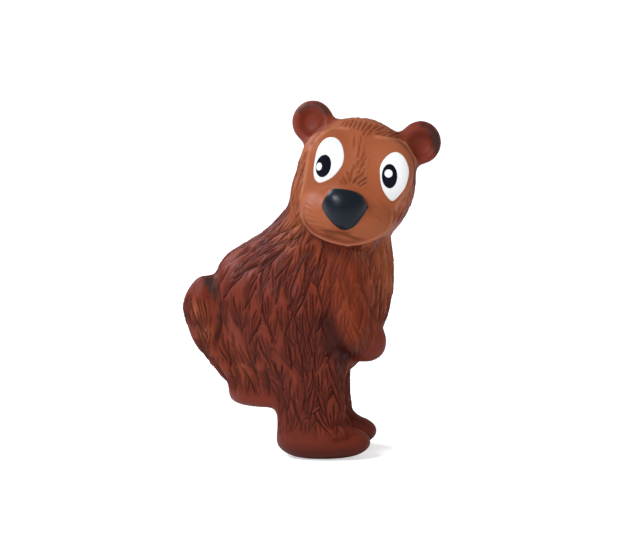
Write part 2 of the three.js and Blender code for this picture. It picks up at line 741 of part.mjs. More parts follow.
// Squeaker plug, with its flange's outer face at height zero.
const neckTop = flangeThickness + clearance + seatThickness + clearance;
const plugRadius = plugDiameter / 2;
const cupRadius = plugRadius - plugWall;
const lipRadius = plugRadius + lipReach;
const socketRadius = stemDiameter / 2 + clearance;
const socketTop = plugFloor + socketDepth;
const plug = turnedPiece([
  [ventDiameter / 2, 0],
  [flangeDiameter / 2, 0],
  [flangeDiameter / 2, flangeThickness],
  [plugRadius, flangeThickness],
  [plugRadius, neckTop],
  [lipRadius, neckTop],
  [lipRadius, neckTop + lipHeight],
  [plugRadius, neckTop + lipHeight + lipTaper],
  [plugRadius, plugHeight],
  [cupRadius, plugHeight],
  [cupRadius, plugFloor],
  [socketRadius + socketWall, plugFloor],
  [socketRadius + socketWall, socketTop],
  [socketRadius, socketTop],
  [socketRadius, plugFloor],
  [ventDiameter / 2, plugFloor],
  [ventDiameter / 2, 0],
]);

// Squeaker lid, resting on the plug's rim with its skirt inside.
const lidBottom = plugHeight + clearance;
const skirtRadius = cupRadius - clearance;
const lidTop = lidBottom + lidThickness;
const lidOpening = skirtRadius - lidSkirtWall;
let lid = turnedPiece([
  [0, lidBottom],
  [lidOpening, lidBottom],
  [lidOpening, lidBottom - lidSkirt],
  [skirtRadius, lidBottom - lidSkirt],
  [skirtRadius, lidBottom],
  [plugRadius, lidBottom],
  [plugRadius, lidTop],
  [0, lidTop],
]);
const lidHole = bar(lidHoleDiameter / 2, lidBottom - overrun, lidTop + overrun, holeSegments);
lid = lid.subtract(lidHole);
for (let i = 0; i < lidHoleCount; i++) {
  const around = (2 * Math.PI * i) / lidHoleCount;
  const reach = lidHoleRingShare * lidOpening;
  lid = lid.subtract(lidHole.translate([reach * Math.cos(around), reach * Math.sin(around), 0]));
}

// Reed, between the seat on -X and the clamp on +X.
const stemBottom = plugFloor + clearance;
const stemRadius = stemDiameter / 2;
const reedSide = reedThickness / 2 + reedPlay;
const clampTop = stemBottom + reedClampHeight;
const seatTop = stemBottom + reedSeatHeight;
const reedBottom = stemBottom;
const reedTop = reedBottom + reedHeight;
const stemSlab = (fromX, toX, width, fromZ, toZ) =>
  block(new THREE.Vector3(fromX, -width / 2, fromZ), new THREE.Vector3(toX, width / 2, toZ));
const stemCut = 2 * stemDiameter; // width of a cut right through the stem
const clampHalf = bar(stemRadius, stemBottom, clampTop).subtract(
  stemSlab(-stemDiameter, reedSide, stemCut, stemBottom - overrun, clampTop + overrun),
);
const seatHalf = bar(stemRadius, stemBottom, seatTop)
  .subtract(stemSlab(-reedSide, stemDiameter, stemCut, stemBottom - overrun, seatTop + overrun))
  .subtract(stemSlab(-reedSide - reedRelief, stemDiameter, stemCut, clampTop, seatTop + overrun))
  .subtract(stemSlab(-reedSide - channelDepth, stemDiameter, channelWidth, stemBottom - overrun, reedTop));
const tongue = stemSlab(-reedThickness / 2, reedThickness / 2, reedWidth, reedBottom, reedTop);

// The squeaker sits in the boss with its flange sunk level with the boss.
const seated = (solid) => solid.translate(bossBottom.toArray());

// The moulding: the sculpture, flat under the feet and round the plug, less its cavity and the plug's bore.
const skinCell = skinBox.getSize(new THREE.Vector3()).z / skinCellsUp;
const cavityCell = skinBox.getSize(new THREE.Vector3()).z / cavityCellsUp;
const headWeight = (point) => (point.distanceTo(headMiddle) < skull.radii.z + ear.height ? headDetail : 1);
const legEnd = (side) => new THREE.Vector3(legTop.x, (side * stance) / 2, ankleHeight);
const legSpine = (side) => [legTop.clone().setY((side * stance) / 2), legEnd(side)];
const locks = [
  ...locksRound(legSpine(-1), leg.length / 2),
  ...locksRound(legSpine(1), leg.length / 2),
  ...locksRound([...tailPoints].reverse(), tailWidth / 2),
  ...locksRound([neck.middle, loin.middle, rump.middle, on(rump, trunkEndShares)], rump.radii.x),
];
const carving = carvingOf(locks);
const furredField = (x, y, z) => {
  const bare = skinField(x, y, z);
  return Math.abs(bare) < wall ? bare + furShare(x, y, z) * carving(x, y, z) : bare;
};
const fineSurface = settle(surfaceOf(furredField, skinBox, skinCell), furredField, settleRounds);
const outerSurface = settle(thin(fineSurface, skinFacets, headWeight), furredField, 1);
const innerSolid = (depth) => {
  const field = inset(coreField, depth);
  const surface = settle(surfaceOf(field, skinBox, cavityCell), field, settleRounds);
  return largest(solidFrom(geometryFrom(settle(thin(surface, cavityFacets), field, 1))));
};

const flangeRoom = flangeDiameter / 2 + flangeRecess;
const seatTopHeight = flangeThickness + clearance + seatThickness;
const trim = block(
  new THREE.Vector3(skinBox.min.x - overrun, skinBox.min.y - overrun, skinBox.min.z - overrun),
  new THREE.Vector3(skinBox.max.x + overrun, skinBox.max.y + overrun, 0),
);
const outerSolid = largest(solidFrom(geometryFrom(outerSurface)))
  .subtract(trim)
  .subtract(seated(bar(flangeRoom, -overrun, flangeThickness + clearance)));
const padRadius = flangeRoom + seatPad;
const cavitySolid = innerSolid(wall).subtract(seated(bar(padRadius, -overrun, seatTopHeight)));
const skinSolid = outerSolid
  .subtract(cavitySolid)
  .subtract(seated(bar(plugRadius + clearance, -overrun, seatTopHeight + overrun)));

// The fibre fills the cavity up to the squeaker.
const fibreSolid = largest(
  innerSolid(wall + fibreGap)
    .intersect(cavitySolid)
    .subtract(seated(bar(padRadius + fibreGap, -overrun, seatTopHeight + fibreGap)))
    .subtract(seated(bar(lipRadius + fibreGap, -overrun, lidTop + fibreGap))),
);

// Paint. A coat is a thin film that follows the moulding. Rays find where it lies, in rings that run
// out from its middle or from the edge of the hole that another coat fills.
const target = new THREE.Mesh(geometryFrom(outerSurface), new THREE.MeshBasicMaterial());
const caster = new THREE.Raycaster();

function touch(from, towards) {
  caster.set(from.clone().applyMatrix4(headFrame), towards.clone().transformDirection(headFrame));
  const { point } = caster.intersectObject(target)[0];
  return { point, normal: slopeOf(skinField, point).normalize() };
}

function film(rings) {
  const points = [];
  const faces = [];
  const segments = rings[0].length;
  const last = rings.length - 1;
  const low = (ring, i) => 2 * (ring * segments + (i % segments));
  const high = (ring, i) => low(ring, i) + 1;
  for (const { point, normal } of rings.flat()) {
    points.push(point.clone().addScaledVector(normal, clearance));
    points.push(point.clone().addScaledVector(normal, clearance + paintCoat));
  }
  const quad = (a, b, c, d) => faces.push([a, b, c], [a, c, d]);
  for (let i = 0; i < segments; i++) {
    for (let ring = 0; ring < last; ring++) {
      quad(high(ring, i), high(ring, i + 1), high(ring + 1, i + 1), high(ring + 1, i));
      quad(low(ring, i), low(ring + 1, i), low(ring + 1, i + 1), low(ring, i + 1));
    }
    quad(low(last, i), high(last, i), high(last, i + 1), low(last, i + 1));
    quad(low(0, i + 1), high(0, i + 1), high(0, i), low(0, i));
  }
  return solidFrom(geometryFrom({ points, faces }));
}

// An upright oval on the front of the head, wider above where it tapers.
function oval(middle, { length, height }, lean, taperShare, grow) {
  return (around) => {
    const up = Math.sin(around);
    const across = (length / 2 + grow) * Math.cos(around) * (1 + (taperShare * up) / 2);
    const rise = (height / 2 + grow) * up;
    return new THREE.Vector3(
      middle.x + across * Math.cos(lean) + rise * Math.sin(lean),
      -skull.radii.y - overrun,
      middle.z + rise * Math.cos(lean) - across * Math.sin(lean),
    );
  };
}
const dot = (middle) => () => new THREE.Vector3(middle.x, -skull.radii.y - overrun, middle.z);
const inwards = new THREE.Vector3(0, 1, 0);

function painted(hole, outline, segments) {
  const rings = [];
  for (let ring = 0; ring <= coatRings; ring++) {
    const row = [];
    for (let i = 0; i < segments; i++) {
      const around = (-2 * Math.PI * i) / segments;
      row.push(touch(hole(around).lerp(outline(around), ring / coatRings), inwards));
    }
    rings.push(row);
  }
  return film(rings);
}

const shifted = (middle, { length, height }, [x, z]) =>
  new THREE.Vector3(middle.x + (x * length) / 2, 0, middle.z + (z * height) / 2);

const group = new THREE.Group();
const eyeWhite = { color: "#f2f2ef", roughness: 0.45 };
const black = { color: "#15161a", roughness: 0.3 };
for (const [name, side] of [
  ["right", -1],
  ["left", 1],
]) {
  const lean = -side * eyeLean;
  const white = shifted(skull.middle, skullSize, eyeShares[name]);
  const dark = shifted(white, eye, gazeShares[name]);
  const spark = shifted(dark, pupil, glintShares[name]);
  const whiteEdge = oval(white, eye, lean, eyeTaperShare, 0);
  const whiteFilm = painted(oval(dark, pupil, lean, 0, clearance), whiteEdge, coatSegments);
  const pupilEdge = oval(dark, pupil, lean, 0, 0);
  const pupilFilm = painted(oval(spark, glint, lean, 0, clearance), pupilEdge, coatSegments);
  const glintFilm = painted(dot(spark), oval(spark, glint, lean, 0, 0), glintSegments);
  group.add(meshFrom(`eye_white_${name}`, whiteFilm, eyeWhite));
  group.add(meshFrom(`pupil_${name}`, pupilFilm, black));
  group.add(meshFrom(`eye_glint_${name}`, glintFilm, eyeWhite));
}

// Nose lacquer: its rays come in from all round the front of the nose.
const noseRows = [];
for (let ring = 0; ring <= noseRings; ring++) {
  const polar = (noseWrap * ring) / noseRings;
  const row = [];
  for (let i = 0; i < coatSegments; i++) {
    const around = (-2 * Math.PI * i) / coatSegments;
    const out = new THREE.Vector3(
      Math.sin(polar) * Math.cos(around),
      -Math.cos(polar),
      Math.sin(polar) * Math.sin(around),
    );
    row.push(touch(out.clone().multiplyScalar(nosePad.length).add(noseMiddle), out.clone().negate()));
  }
  noseRows.push(row);
}
group.add(meshFrom("nose_lacquer", film(noseRows), { color: "#18242f", roughness: 0.25 }));

group.add(meshFrom("latex_skin", skinSolid, { color: "#84432f", roughness: 0.55 }));
group.add(meshFrom("fibre_filling", fibreSolid, { color: "#e9e6df", roughness: 1 }));
const plastic = { color: "#eceae4", roughness: 0.4, flatShading: true };
group.add(meshFrom("squeaker_plug", seated(plug), plastic));
group.add(meshFrom("squeaker_lid", seated(lid), plastic));
group.add(meshFrom("reed_seat", seated(seatHalf), plastic));
group.add(meshFrom("reed_clamp", seated(clampHalf), plastic));
const brass = { color: "#c9a24b", roughness: 0.35, metalness: 1, flatShading: true };
group.add(meshFrom("reed_tongue", seated(tongue), brass));

// The part's origin lies on the floor, in the middle of its box.
const middle = new THREE.Box3().setFromObject(group, true).getCenter(new THREE.Vector3());
group.position.set(-middle.x, -middle.y, 0);

export default group;
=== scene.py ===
"""A squeaking latex dog toy: a bear cub that stands on its hind feet and looks at the camera.

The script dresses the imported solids. Sizes are in millimetres and are turned to metres where a
mesh is made. +Z is up, +X is where the cub's chest and feet point, and its face looks along -Y.
"""
import math

import bmesh
import bpy
import numpy as np
from mathutils import Matrix, Vector
from mathutils.bvhtree import BVHTree
from mathutils.kdtree import KDTree


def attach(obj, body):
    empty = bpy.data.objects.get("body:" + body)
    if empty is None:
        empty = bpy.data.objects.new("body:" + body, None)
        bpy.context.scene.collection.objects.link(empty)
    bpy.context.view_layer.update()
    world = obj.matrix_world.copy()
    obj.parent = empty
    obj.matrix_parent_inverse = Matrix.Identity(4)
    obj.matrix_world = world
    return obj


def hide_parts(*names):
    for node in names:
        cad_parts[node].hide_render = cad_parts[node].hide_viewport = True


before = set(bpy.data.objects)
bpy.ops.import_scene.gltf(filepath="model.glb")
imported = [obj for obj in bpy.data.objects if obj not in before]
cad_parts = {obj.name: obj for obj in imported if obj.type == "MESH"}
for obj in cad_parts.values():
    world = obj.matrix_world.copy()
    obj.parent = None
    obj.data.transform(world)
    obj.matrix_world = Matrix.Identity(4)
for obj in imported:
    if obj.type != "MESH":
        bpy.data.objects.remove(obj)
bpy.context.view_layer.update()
MM = 0.001

# Camera
# The photograph was taken from far off, from 9 degrees above the floor and a little to the
# cub's right of square, so near and far parts keep one scale.
IMAGE_WIDTH = 623
IMAGE_HEIGHT = 560
PIXELS_PER_MM = 2.25
CAMERA_DISTANCE = 10000
SENSOR_WIDTH = 36
AIM = Vector((0.29, 0.38, 78.2))
VIEW_TURN = math.radians(5)
VIEW_RISE = math.radians(9)
view_back = Vector((
    math.sin(VIEW_TURN) * math.cos(VIEW_RISE),
    -math.cos(VIEW_TURN) * math.cos(VIEW_RISE),
    math.sin(VIEW_RISE),
))
view_right = Vector((math.cos(VIEW_TURN), math.sin(VIEW_TURN), 0))
view_up = view_back.cross(view_right)
eye_point = AIM + CAMERA_DISTANCE * view_back


def placed(name, data):
    """A new object in the scene."""
    thing = bpy.data.objects.new(name, data)
    bpy.context.scene.collection.objects.link(thing)
    return thing


camera_data = bpy.data.cameras.new("camera")
camera_data.sensor_width = SENSOR_WIDTH
camera_data.lens = SENSOR_WIDTH * CAMERA_DISTANCE * PIXELS_PER_MM / IMAGE_WIDTH
camera_data.clip_start = 0.1
camera_data.clip_end = 100
camera = placed("camera", camera_data)
camera.matrix_world = Matrix((
    (view_right.x, view_up.x, view_back.x, eye_point.x * MM),
    (view_right.y, view_up.y, view_back.y, eye_point.y * MM),
    (view_right.z, view_up.z, view_back.z, eye_point.z * MM),
    (0, 0, 0, 1),
))
bpy.context.scene.camera = camera
bpy.context.scene.view_settings.view_transform = "Standard"


def sight_line(x, y):
    """Direction from the camera to a point of the photograph, in pixels."""
    across = (x + 0.5 - IMAGE_WIDTH / 2) / PIXELS_PER_MM
    rise = (IMAGE_HEIGHT / 2 - y - 0.5) / PIXELS_PER_MM
    return (AIM + across * view_right + rise * view_up - eye_point).normalized()


# Studio
# A white floor that runs out into a white background, and three soft lamps: a cool one high
# on the left, a weak one on the right that leaves no highlight, and one behind for the back's sheen.
FLOOR_SIZE = 12
FLOOR_COLOUR = "#F2F2F2"
FLOOR_FILL = 0.55
WORLD_STRENGTH = 0.37
LAMPS = {
    "key": {"place": (-0.75, -1.0, 1.15), "size": 0.6, "watts": 19.5, "colour": "#F4F7FF"},
    "fill": {"place": (1.3, -1.2, 0.5), "size": 0.9, "watts": 7, "colour": "#FFF6EE"},
    "rim": {"place": (-0.9, 0.5, 0.9), "size": 0.6, "watts": 11, "colour": "#E8EEFF"},
}


def linear(colour):
    """Turns an sRGB hex colour into the linear values that a shader takes."""
    shares = [int(colour[i:i + 2], 16) / 255 for i in (1, 3, 5)]
    return tuple(c / 12.92 if c <= 0.04045 else ((c + 0.055) / 1.055) ** 2.4 for c in shares)


def add_node(tree, kind, inputs=None, **settings):
    """Adds a node. Each input is a value, or the output of another node."""
    node = tree.nodes.new(kind)
    for name, value in settings.items():
        setattr(node, name, value)
    for socket, value in (inputs or {}).items():
        if isinstance(value, bpy.types.NodeSocket):
            tree.links.new(value, node.inputs[socket])
        else:
            node.inputs[socket].default_value = value
    return node


def new_material(name):
    """An empty material, its node tree and the surface input of its output."""
    material = bpy.data.materials.new(name)
    material.use_nodes = True
    tree = material.node_tree
    tree.nodes.clear()
    return material, tree, add_node(tree, "ShaderNodeOutputMaterial").inputs["Surface"]


def mesh_piece(name, points, faces, material):
    """A mesh object from points in millimetres."""
    mesh = bpy.data.meshes.new(name)
    mesh.from_pydata([Vector(p) * MM for p in points], [], faces)
    mesh.update()
    mesh.materials.append(material)
    return placed(name, mesh)


floor_material, tree, surface = new_material("white_paper_sweep")
light_path = add_node(tree, "ShaderNodeLightPath")
paper = add_node(tree, "ShaderNodeBsdfDiffuse", {"Color": (*linear(FLOOR_COLOUR), 1)})
glow = add_node(tree, "ShaderNodeEmission", {"Color": (1, 1, 1, 1), "Strength": FLOOR_FILL})
dark = add_node(tree, "ShaderNodeEmission", {"Color": (0, 0, 0, 1), "Strength": 0})
seen = add_node(tree, "ShaderNodeMixShader", {
    0: light_path.outputs["Is Camera Ray"],
    1: dark.outputs[0],
    2: glow.outputs[0],
})
both = add_node(tree, "ShaderNodeAddShader", {0: paper.outputs[0], 1: seen.outputs[0]})
tree.links.new(both.outputs[0], surface)
edge = FLOOR_SIZE / 2 / MM
floor = mesh_piece(
    "floor",
    [(-edge, -edge, 0), (edge, -edge, 0), (edge, edge, 0), (-edge, edge, 0)],
    [(0, 1, 2, 3)],
    floor_material,
)

for name, lamp in LAMPS.items():
    lamp_data = bpy.data.lights.new(name, "AREA")
    lamp_data.shape = "DISK"
    lamp_data.size = lamp["size"]
    lamp_data.energy = lamp["watts"]
    lamp_data.color = linear(lamp["colour"])
    lamp_object = placed(name, lamp_data)
    lamp_object.location = lamp["place"]
    towards = AIM * MM - lamp_object.location
    lamp_object.rotation_euler = towards.to_track_quat("-Z", "Y").to_euler()
    lamp_object.visible_glossy = name != "fill"

world = bpy.data.worlds.new("white_studio")
bpy.context.scene.world = world
world.use_nodes = True
world.node_tree.nodes.clear()
light_path = add_node(world.node_tree, "ShaderNodeLightPath")
seen = add_node(world.node_tree, "ShaderNodeMath", {
    0: light_path.outputs["Is Camera Ray"],
    1: light_path.outputs["Is Transmission Ray"],
}, operation="MAXIMUM")
level = add_node(world.node_tree, "ShaderNodeMapRange", {
    "Value": seen.outputs[0],
    "To Min": WORLD_STRENGTH,
    "To Max": 1,
})
sky = add_node(world.node_tree, "ShaderNodeBackground", {
    "Color": (*linear("#FFFFFF"), 1),
    "Strength": level.outputs[0],
})
sky_out = add_node(world.node_tree, "ShaderNodeOutputWorld")
world.node_tree.links.new(sky.outputs[0], sky_out.inputs[0])

# Latex skin
# The whole cub is one hollow moulding of natural latex, slush moulded in plaster, and its fur
# is relief. Pigment was airbrushed on the rubber, paler on the head, and the grooves are darkened
# with dark paint and painted shade.
PLUG_AXIS = np.array((-18.878, 6.98))
SEAT_HEIGHT = 23.2       # of the ceiling of the recess that the plug's flange lies in
BORE_RADIUS = 7.8
RECESS_RADIUS = 12
BOSS_RADIUS = 18.5
RECESS_TOP = 26
FINE_CELL = 0.42
CELL = FINE_CELL
SKIN_TRIANGLES = 190000
SMOOTHING = 22
BARE_CELL = 1.5          # of the copy without fur that the locks are laid on
BARE_SMOOTHING = 12


def near(value, wanted, slack=0.06):
    return abs(value - wanted) < slack


def on_rim(vertex):
    """Whether a point of the CAD skin is on the lower edge of the bore for the squeaker."""
    x, y, z = vertex.co / MM
    radius = math.hypot(x - PLUG_AXIS[0], y - PLUG_AXIS[1])
    return near(radius, BORE_RADIUS) and near(z, SEAT_HEIGHT)


cad_skin = bmesh.new()
cad_skin.from_mesh(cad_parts["latex_skin"].data)
bmesh.ops.remove_doubles(cad_skin, verts=cad_skin.verts, dist=0.002 * MM)
rim_edges = {e for e in cad_skin.edges if all(on_rim(v) for v in e.verts)}


def surface_within(faces, walls):
    """The faces that are joined to the given ones without crossing a wall."""
    found = set(faces)
    waiting = list(faces)
    while waiting:
        for e in waiting.pop().edges:
            if e not in walls:
                fresh = [f for f in e.link_faces if f not in found]
                found.update(fresh)
                waiting.extend(fresh)
    return found


top_face = max(cad_skin.faces, key=lambda f: f.calc_center_median().z)
outer_faces = surface_within([top_face], rim_edges)

# The outside alone, closed over the bore, is rounded off and cut into even small cells.
outside = bmesh.new()
outside_at = {}
for f in outer_faces:
    for v in f.verts:
        if v.index not in outside_at:
            outside_at[v.index] = outside.verts.new(v.co)
    outside.faces.new([outside_at[v.index] for v in f.verts])
bmesh.ops.holes_fill(outside, edges=[e for e in outside.edges if e.is_boundary], sides=0)
bmesh.ops.recalc_face_normals(outside, faces=outside.faces)
form_mesh = bpy.data.meshes.new("form")
outside.to_mesh(form_mesh)
outside.free()
form = placed("form", form_mesh)
rounding = form.modifiers.new("rounding", "SUBSURF")
rounding.levels = rounding.render_levels = 2
cells = form.modifiers.new("cells", "REMESH")
cells.mode = "VOXEL"
cells.voxel_size = CELL * MM


def applied(thing):
    """A plain mesh of an object with its modifiers."""
    seen_by = bpy.context.evaluated_depsgraph_get()
    return bpy.data.meshes.new_from_object(thing.evaluated_get(seen_by))


skin_mesh = applied(form)
cells.voxel_size = BARE_CELL * MM
bare_mesh = applied(form)
bpy.data.objects.remove(form)


def points_of(mesh):
    co = np.empty(len(mesh.vertices) * 3)
    mesh.vertices.foreach_get("co", co)
    return co.reshape(-1, 3) / MM


def move_points(mesh, points):
    mesh.vertices.foreach_set("co", (points * MM).ravel())
    mesh.update()


def normals_of(mesh):
    normals = np.empty(len(mesh.vertices) * 3)
    mesh.vertex_normals.foreach_get("vector", normals)
    return normals.reshape(-1, 3)


def smoothed(points, edges, rounds):
    """Moves every point halfway to the middle of its neighbours, a few times."""
    a, b = edges.T
    count = np.bincount(edges.ravel(), minlength=len(points))[:, None]
    for _ in range(rounds):
        total = np.stack([
            np.bincount(a, points[b, axis], len(points))
            + np.bincount(b, points[a, axis], len(points))
            for axis in range(3)
        ], axis=1)
        points = (points + total / count) / 2
    return points


def smoothstep(low, high, value):
    share = np.clip((value - low) / (high - low), 0, 1)
    return share * share * (3 - 2 * share)


def edges_of(mesh):
    ends = np.empty(len(mesh.edges) * 2, dtype=np.int64)
    mesh.edges.foreach_get("vertices", ends)
    return ends.reshape(-1, 2)


skin_edges = edges_of(skin_mesh)
rounds = round(SMOOTHING * (FINE_CELL / CELL) ** 2)
base = points_of(skin_mesh)
from_plug = np.linalg.norm(base[:, :2] - PLUG_AXIS, axis=1)
in_recess = 1 - smoothstep(RECESS_RADIUS + 0.5, RECESS_RADIUS + 2, from_plug)
in_recess *= base[:, 2] < RECESS_TOP
base += (smoothed(base, skin_edges, rounds) - base) * (1 - in_recess[:, None])
move_points(skin_mesh, base)
base_normals = normals_of(skin_mesh)


def surface_tree(mesh):
    """A mesh in millimetres that rays can be cast on."""
    mesh.calc_loop_triangles()
    corners = np.empty(len(mesh.loop_triangles) * 3, dtype=np.int64)
    mesh.loop_triangles.foreach_get("vertices", corners)
    return BVHTree.FromPolygons(points_of(mesh).tolist(), corners.reshape(-1, 3).tolist())


base_tree = surface_tree(skin_mesh)
move_points(bare_mesh, smoothed(points_of(bare_mesh), edges_of(bare_mesh), BARE_SMOOTHING))
bare_tree = surface_tree(bare_mesh)


def on_surface(tree, x, y):
    """Where the line of sight through a point of the photograph meets a surface."""
    place = tree.ray_cast(eye_point, sight_line(x, y))[0]
    if place is None:
        raise ValueError(f"the toy isn't behind the point {x}, {y} of the photograph")
    return place


def flowing(outline, step=1.0, closed=False):
    """Points on a smooth curve through the given ones, a step apart."""
    given = [Vector(p) for p in outline]
    count = len(given)
    spans = count if closed else count - 1
    curve = []
    for i in range(spans):
        a, b, c, d = (
            given[k % count] if closed else given[min(max(k, 0), count - 1)]
            for k in (i - 1, i, i + 1, i + 2)
        )
        parts = max(1, round((c - b).length / step))
        for n in range(parts):
            t = n / parts
            curve.append(
                (2 * b + t * (c - a) + t * t * (2 * a - 5 * b + 4 * c - d)
                 + t ** 3 * (3 * b - a - 3 * c + d)) / 2
            )
    if not closed:
        curve.append(given[-1])
    return curve


# Fur of the trunk, legs and tail: locks in rows like tiles, laid out as on the solid. A spine runs
# inside each part. Then come the radius that sets how many locks lie round it and the rows that
# begin above it.
SPINES = [
    ([(1.19, -9.02, 52.1), (1.19, -9.02, 12)], 15.4, 0),
    ([(1.19, 22.98, 52.1), (1.19, 22.98, 12)], 15.4, 0),
    ([(-47.09, -0.28, 75.56), (-48.79, 0.39, 63.32), (-34.17, 3.69, 41.22)], 8, 0),
    ([(8.33, 5.34, 96.3), (-6.29, 6.98, 72.16), (-8.33, 6.98, 58.9), (1.19, 6.98, 33.4)], 34, 2),
]
LOCK_SPACING = 7.2
LOCK_LENGTH = 16
ROW_SPACING = 8.6
STRAY_SHARE = 0.2        # how far a lock strays from its place, in shares of the spacing
BEND_SHARE = 0.3         # how far its tip bends aside, in shares of its width
STROKE_SPACING = 2.1     # between the strokes that are cut into a lock
SPINE_SAMPLES = 200
BODY_GROOVE = 1.0
FALL_SHARE = 0.75        # how far the locks of the flanks turn towards straight down
FALL_LEAN = 0.22         # how far each leans aside from that, as a slope
CAPE_POINT = np.array((-10.2, 100.4))    # on the lower edge of the cape, in X and Z
CAPE_SLOPE = np.array((0.62, -0.78))     # square to that edge, downwards
CAPE_FADE = 10
FUR_SEED = 7
random = np.random.default_rng(FUR_SEED)


def stray(row, column):
    """A number from -1 to 1 that depends on a lock's row and column alone."""
    value = math.sin(12.9898 * (row + 1) + 78.233 * (column + 1)) * 43758.5453
    return 2 * (value - math.floor(value)) - 1


def spine_points(given):
    """Even steps on a centripetal curve through the given points."""
    given = [2 * given[0] - given[1], *given, 2 * given[-1] - given[-2]]
    curve = []
    for a, b, c, d in zip(given, given[1:], given[2:], given[3:]):
        before, within, after = (
            math.sqrt(np.linalg.norm(q - p)) for p, q in ((a, b), (b, c), (c, d))
        )
        slope_b = ((b - a) / before - (c - a) / (before + within) + (c - b) / within) * within
        slope_c = ((c - b) / within - (d - b) / (within + after) + (d - c) / after) * within
        for t in np.linspace(0, 1, SPINE_SAMPLES, endpoint=False):
            curve.append(
                b + t * slope_b + t * t * (3 * (c - b) - 2 * slope_b - slope_c)
                + t ** 3 * (2 * (b - c) + slope_b + slope_c)
            )
    curve.append(given[-2])
    return np.array(curve)


def way_out(place, towards):
    """Where a ray from inside the toy leaves it, and the surface's direction there."""
    hit, normal, _, _ = bare_tree.ray_cast(Vector(place), Vector(towards))
    return np.array(hit), np.array(normal)


locks = []
for given, radius, rows_above in SPINES:
    curve = spine_points([np.array(p) for p in given])
    reaches = np.concatenate([[0], np.cumsum(np.linalg.norm(np.diff(curve, axis=0), axis=1))])
    total = reaches[-1]
    columns = round(math.tau * radius / LOCK_SPACING)
    part = []

    def spine_at(reach):
        """The spine's point and direction at a distance from its start, or straight on above it."""
        above, reach = min(reach, 0), min(max(reach, 0), total)
        here, ahead, behind = (
            np.array([np.interp(r, reaches, curve[:, axis]) for axis in range(3)])
            for r in (reach, min(reach + 0.1, total), max(reach - 0.1, 0))
        )
        along = (ahead - behind) / np.linalg.norm(ahead - behind)
        return here + along * above, along

    def root_at(reach, turn):
        """A point of the skin beside the spine, at an angle round it from the near side."""
        here, along = spine_at(reach)
        towards = np.array((0, -1, 0)) + along * along[1]
        towards /= np.linalg.norm(towards)
        towards = towards * math.cos(turn) + np.cross(along, towards) * math.sin(turn)
        hit, normal = way_out(here, towards)
        return hit, normal, here, along

    for row in range(-rows_above, math.ceil(total / ROW_SPACING)):
        for column in range(columns):
            turn = math.tau * (column + (row % 2) / 2 + STRAY_SHARE * stray(row, column)) / columns
            reach = (row + STRAY_SHARE * stray(column, row)) * ROW_SPACING
            reach = reach if row < 0 else max(reach, 0)
            place, normal, here, along = root_at(reach, turn)
            run = root_at(reach + ROW_SPACING / 2, turn)[0] - place + along * 0.02
            below_cape = (place[[0, 2]] - CAPE_POINT) @ CAPE_SLOPE
            fall = FALL_SHARE * smoothstep(0, CAPE_FADE, below_cape)
            run = run / np.linalg.norm(run) * (1 - fall) + np.array((0, 0, -1)) * fall
            run += np.cross(normal, run) * FALL_LEAN * stray(row + 7, column + row)
            run -= normal * (run @ normal)
            run /= np.linalg.norm(run)
            width = math.tau * np.linalg.norm(place - here) / columns
            bend = BEND_SHARE * width * stray(row + column, column)
            strokes = max(1, round(width / STROKE_SPACING))
            part.append((place, normal, run, width, LOCK_LENGTH, bend, strokes, BODY_GROOVE))
    locks += reversed(part)

# Fur at the back of the head: finer locks, scattered so that they keep their distance. Each entry
# has a point, the way the fur falls there, and the locks' length, width and depth.
HEAD_FUR = [
    ((20, 26, 122), (0, 0.1, -1), 13, 4.6, 0.6),
    ((20, 20, 142), (0, 1, -0.6), 10, 3.4, 0.5),
    ((0, 18, 128), (-0.3, 0.2, -1), 12, 4.0, 0.55),
    ((42, 16, 128), (0.3, 0.2, -1), 12, 4.0, 0.55),
    ((-4, 6, 110), (-0.7, 0, -0.8), 14, 4.6, 0.6),
    ((47, 2, 112), (0.4, 0.3, -1), 12, 4.0, 0.55),
]
HEAD_MIDDLE = np.array((20, -0.7, 123))
HEAD_RADIUS = 36
HEAD_FUR_LIMIT = 98      # the lowest roots of the head's fur
HEAD_FUR_TRIES = 5000
HEAD_FUR_FACING = 0.12   # they stay on the sides that the photograph doesn't show
ALONG_SHARE = 0.58
ACROSS_SHARE = 0.86
GUIDE_SHARPNESS = 4

guide_places, guide_runs, guide_sizes = (
    np.array(column, dtype=float)
    for column in zip(*((place, run, sizes) for place, run, *sizes in HEAD_FUR))
)
guide_runs /= np.linalg.norm(guide_runs, axis=1)[:, None]

head_locks = []
head_roots = []
on_head = np.flatnonzero(
    (base[:, 2] > HEAD_FUR_LIMIT)
    & (np.linalg.norm(base - HEAD_MIDDLE, axis=1) < HEAD_RADIUS)
    & (base_normals @ np.array(view_back) < HEAD_FUR_FACING)
)
for index in random.choice(on_head, HEAD_FUR_TRIES):
    place, normal = base[index], base_normals[index]
    weight = (np.linalg.norm(guide_places - place, axis=1) + 1) ** -GUIDE_SHARPNESS
    run = weight @ guide_runs
    run -= normal * (run @ normal)
    run /= np.linalg.norm(run) + 1e-9
    length, width, depth = weight @ guide_sizes / weight.sum()
    if head_roots:
        gap = np.array(head_roots) - place
        along = gap @ run / (ALONG_SHARE * length)
        across = gap @ np.cross(normal, run) / (ACROSS_SHARE * width)
        if (along ** 2 + across ** 2 + (gap @ normal / width) ** 2).min() < 1:
            continue
    head_roots.append(place)
    bend = random.uniform(-BEND_SHARE, BEND_SHARE) * width
    strokes = 3 if width > 3 else 2
    head_locks.append((place, normal, run, width, length, bend, strokes, depth))

# The head's fur falls from the crown, so a lock nearer the crown lies over one below it.
head_locks.sort(key=lambda lock: lock[0][2])
locks += head_locks

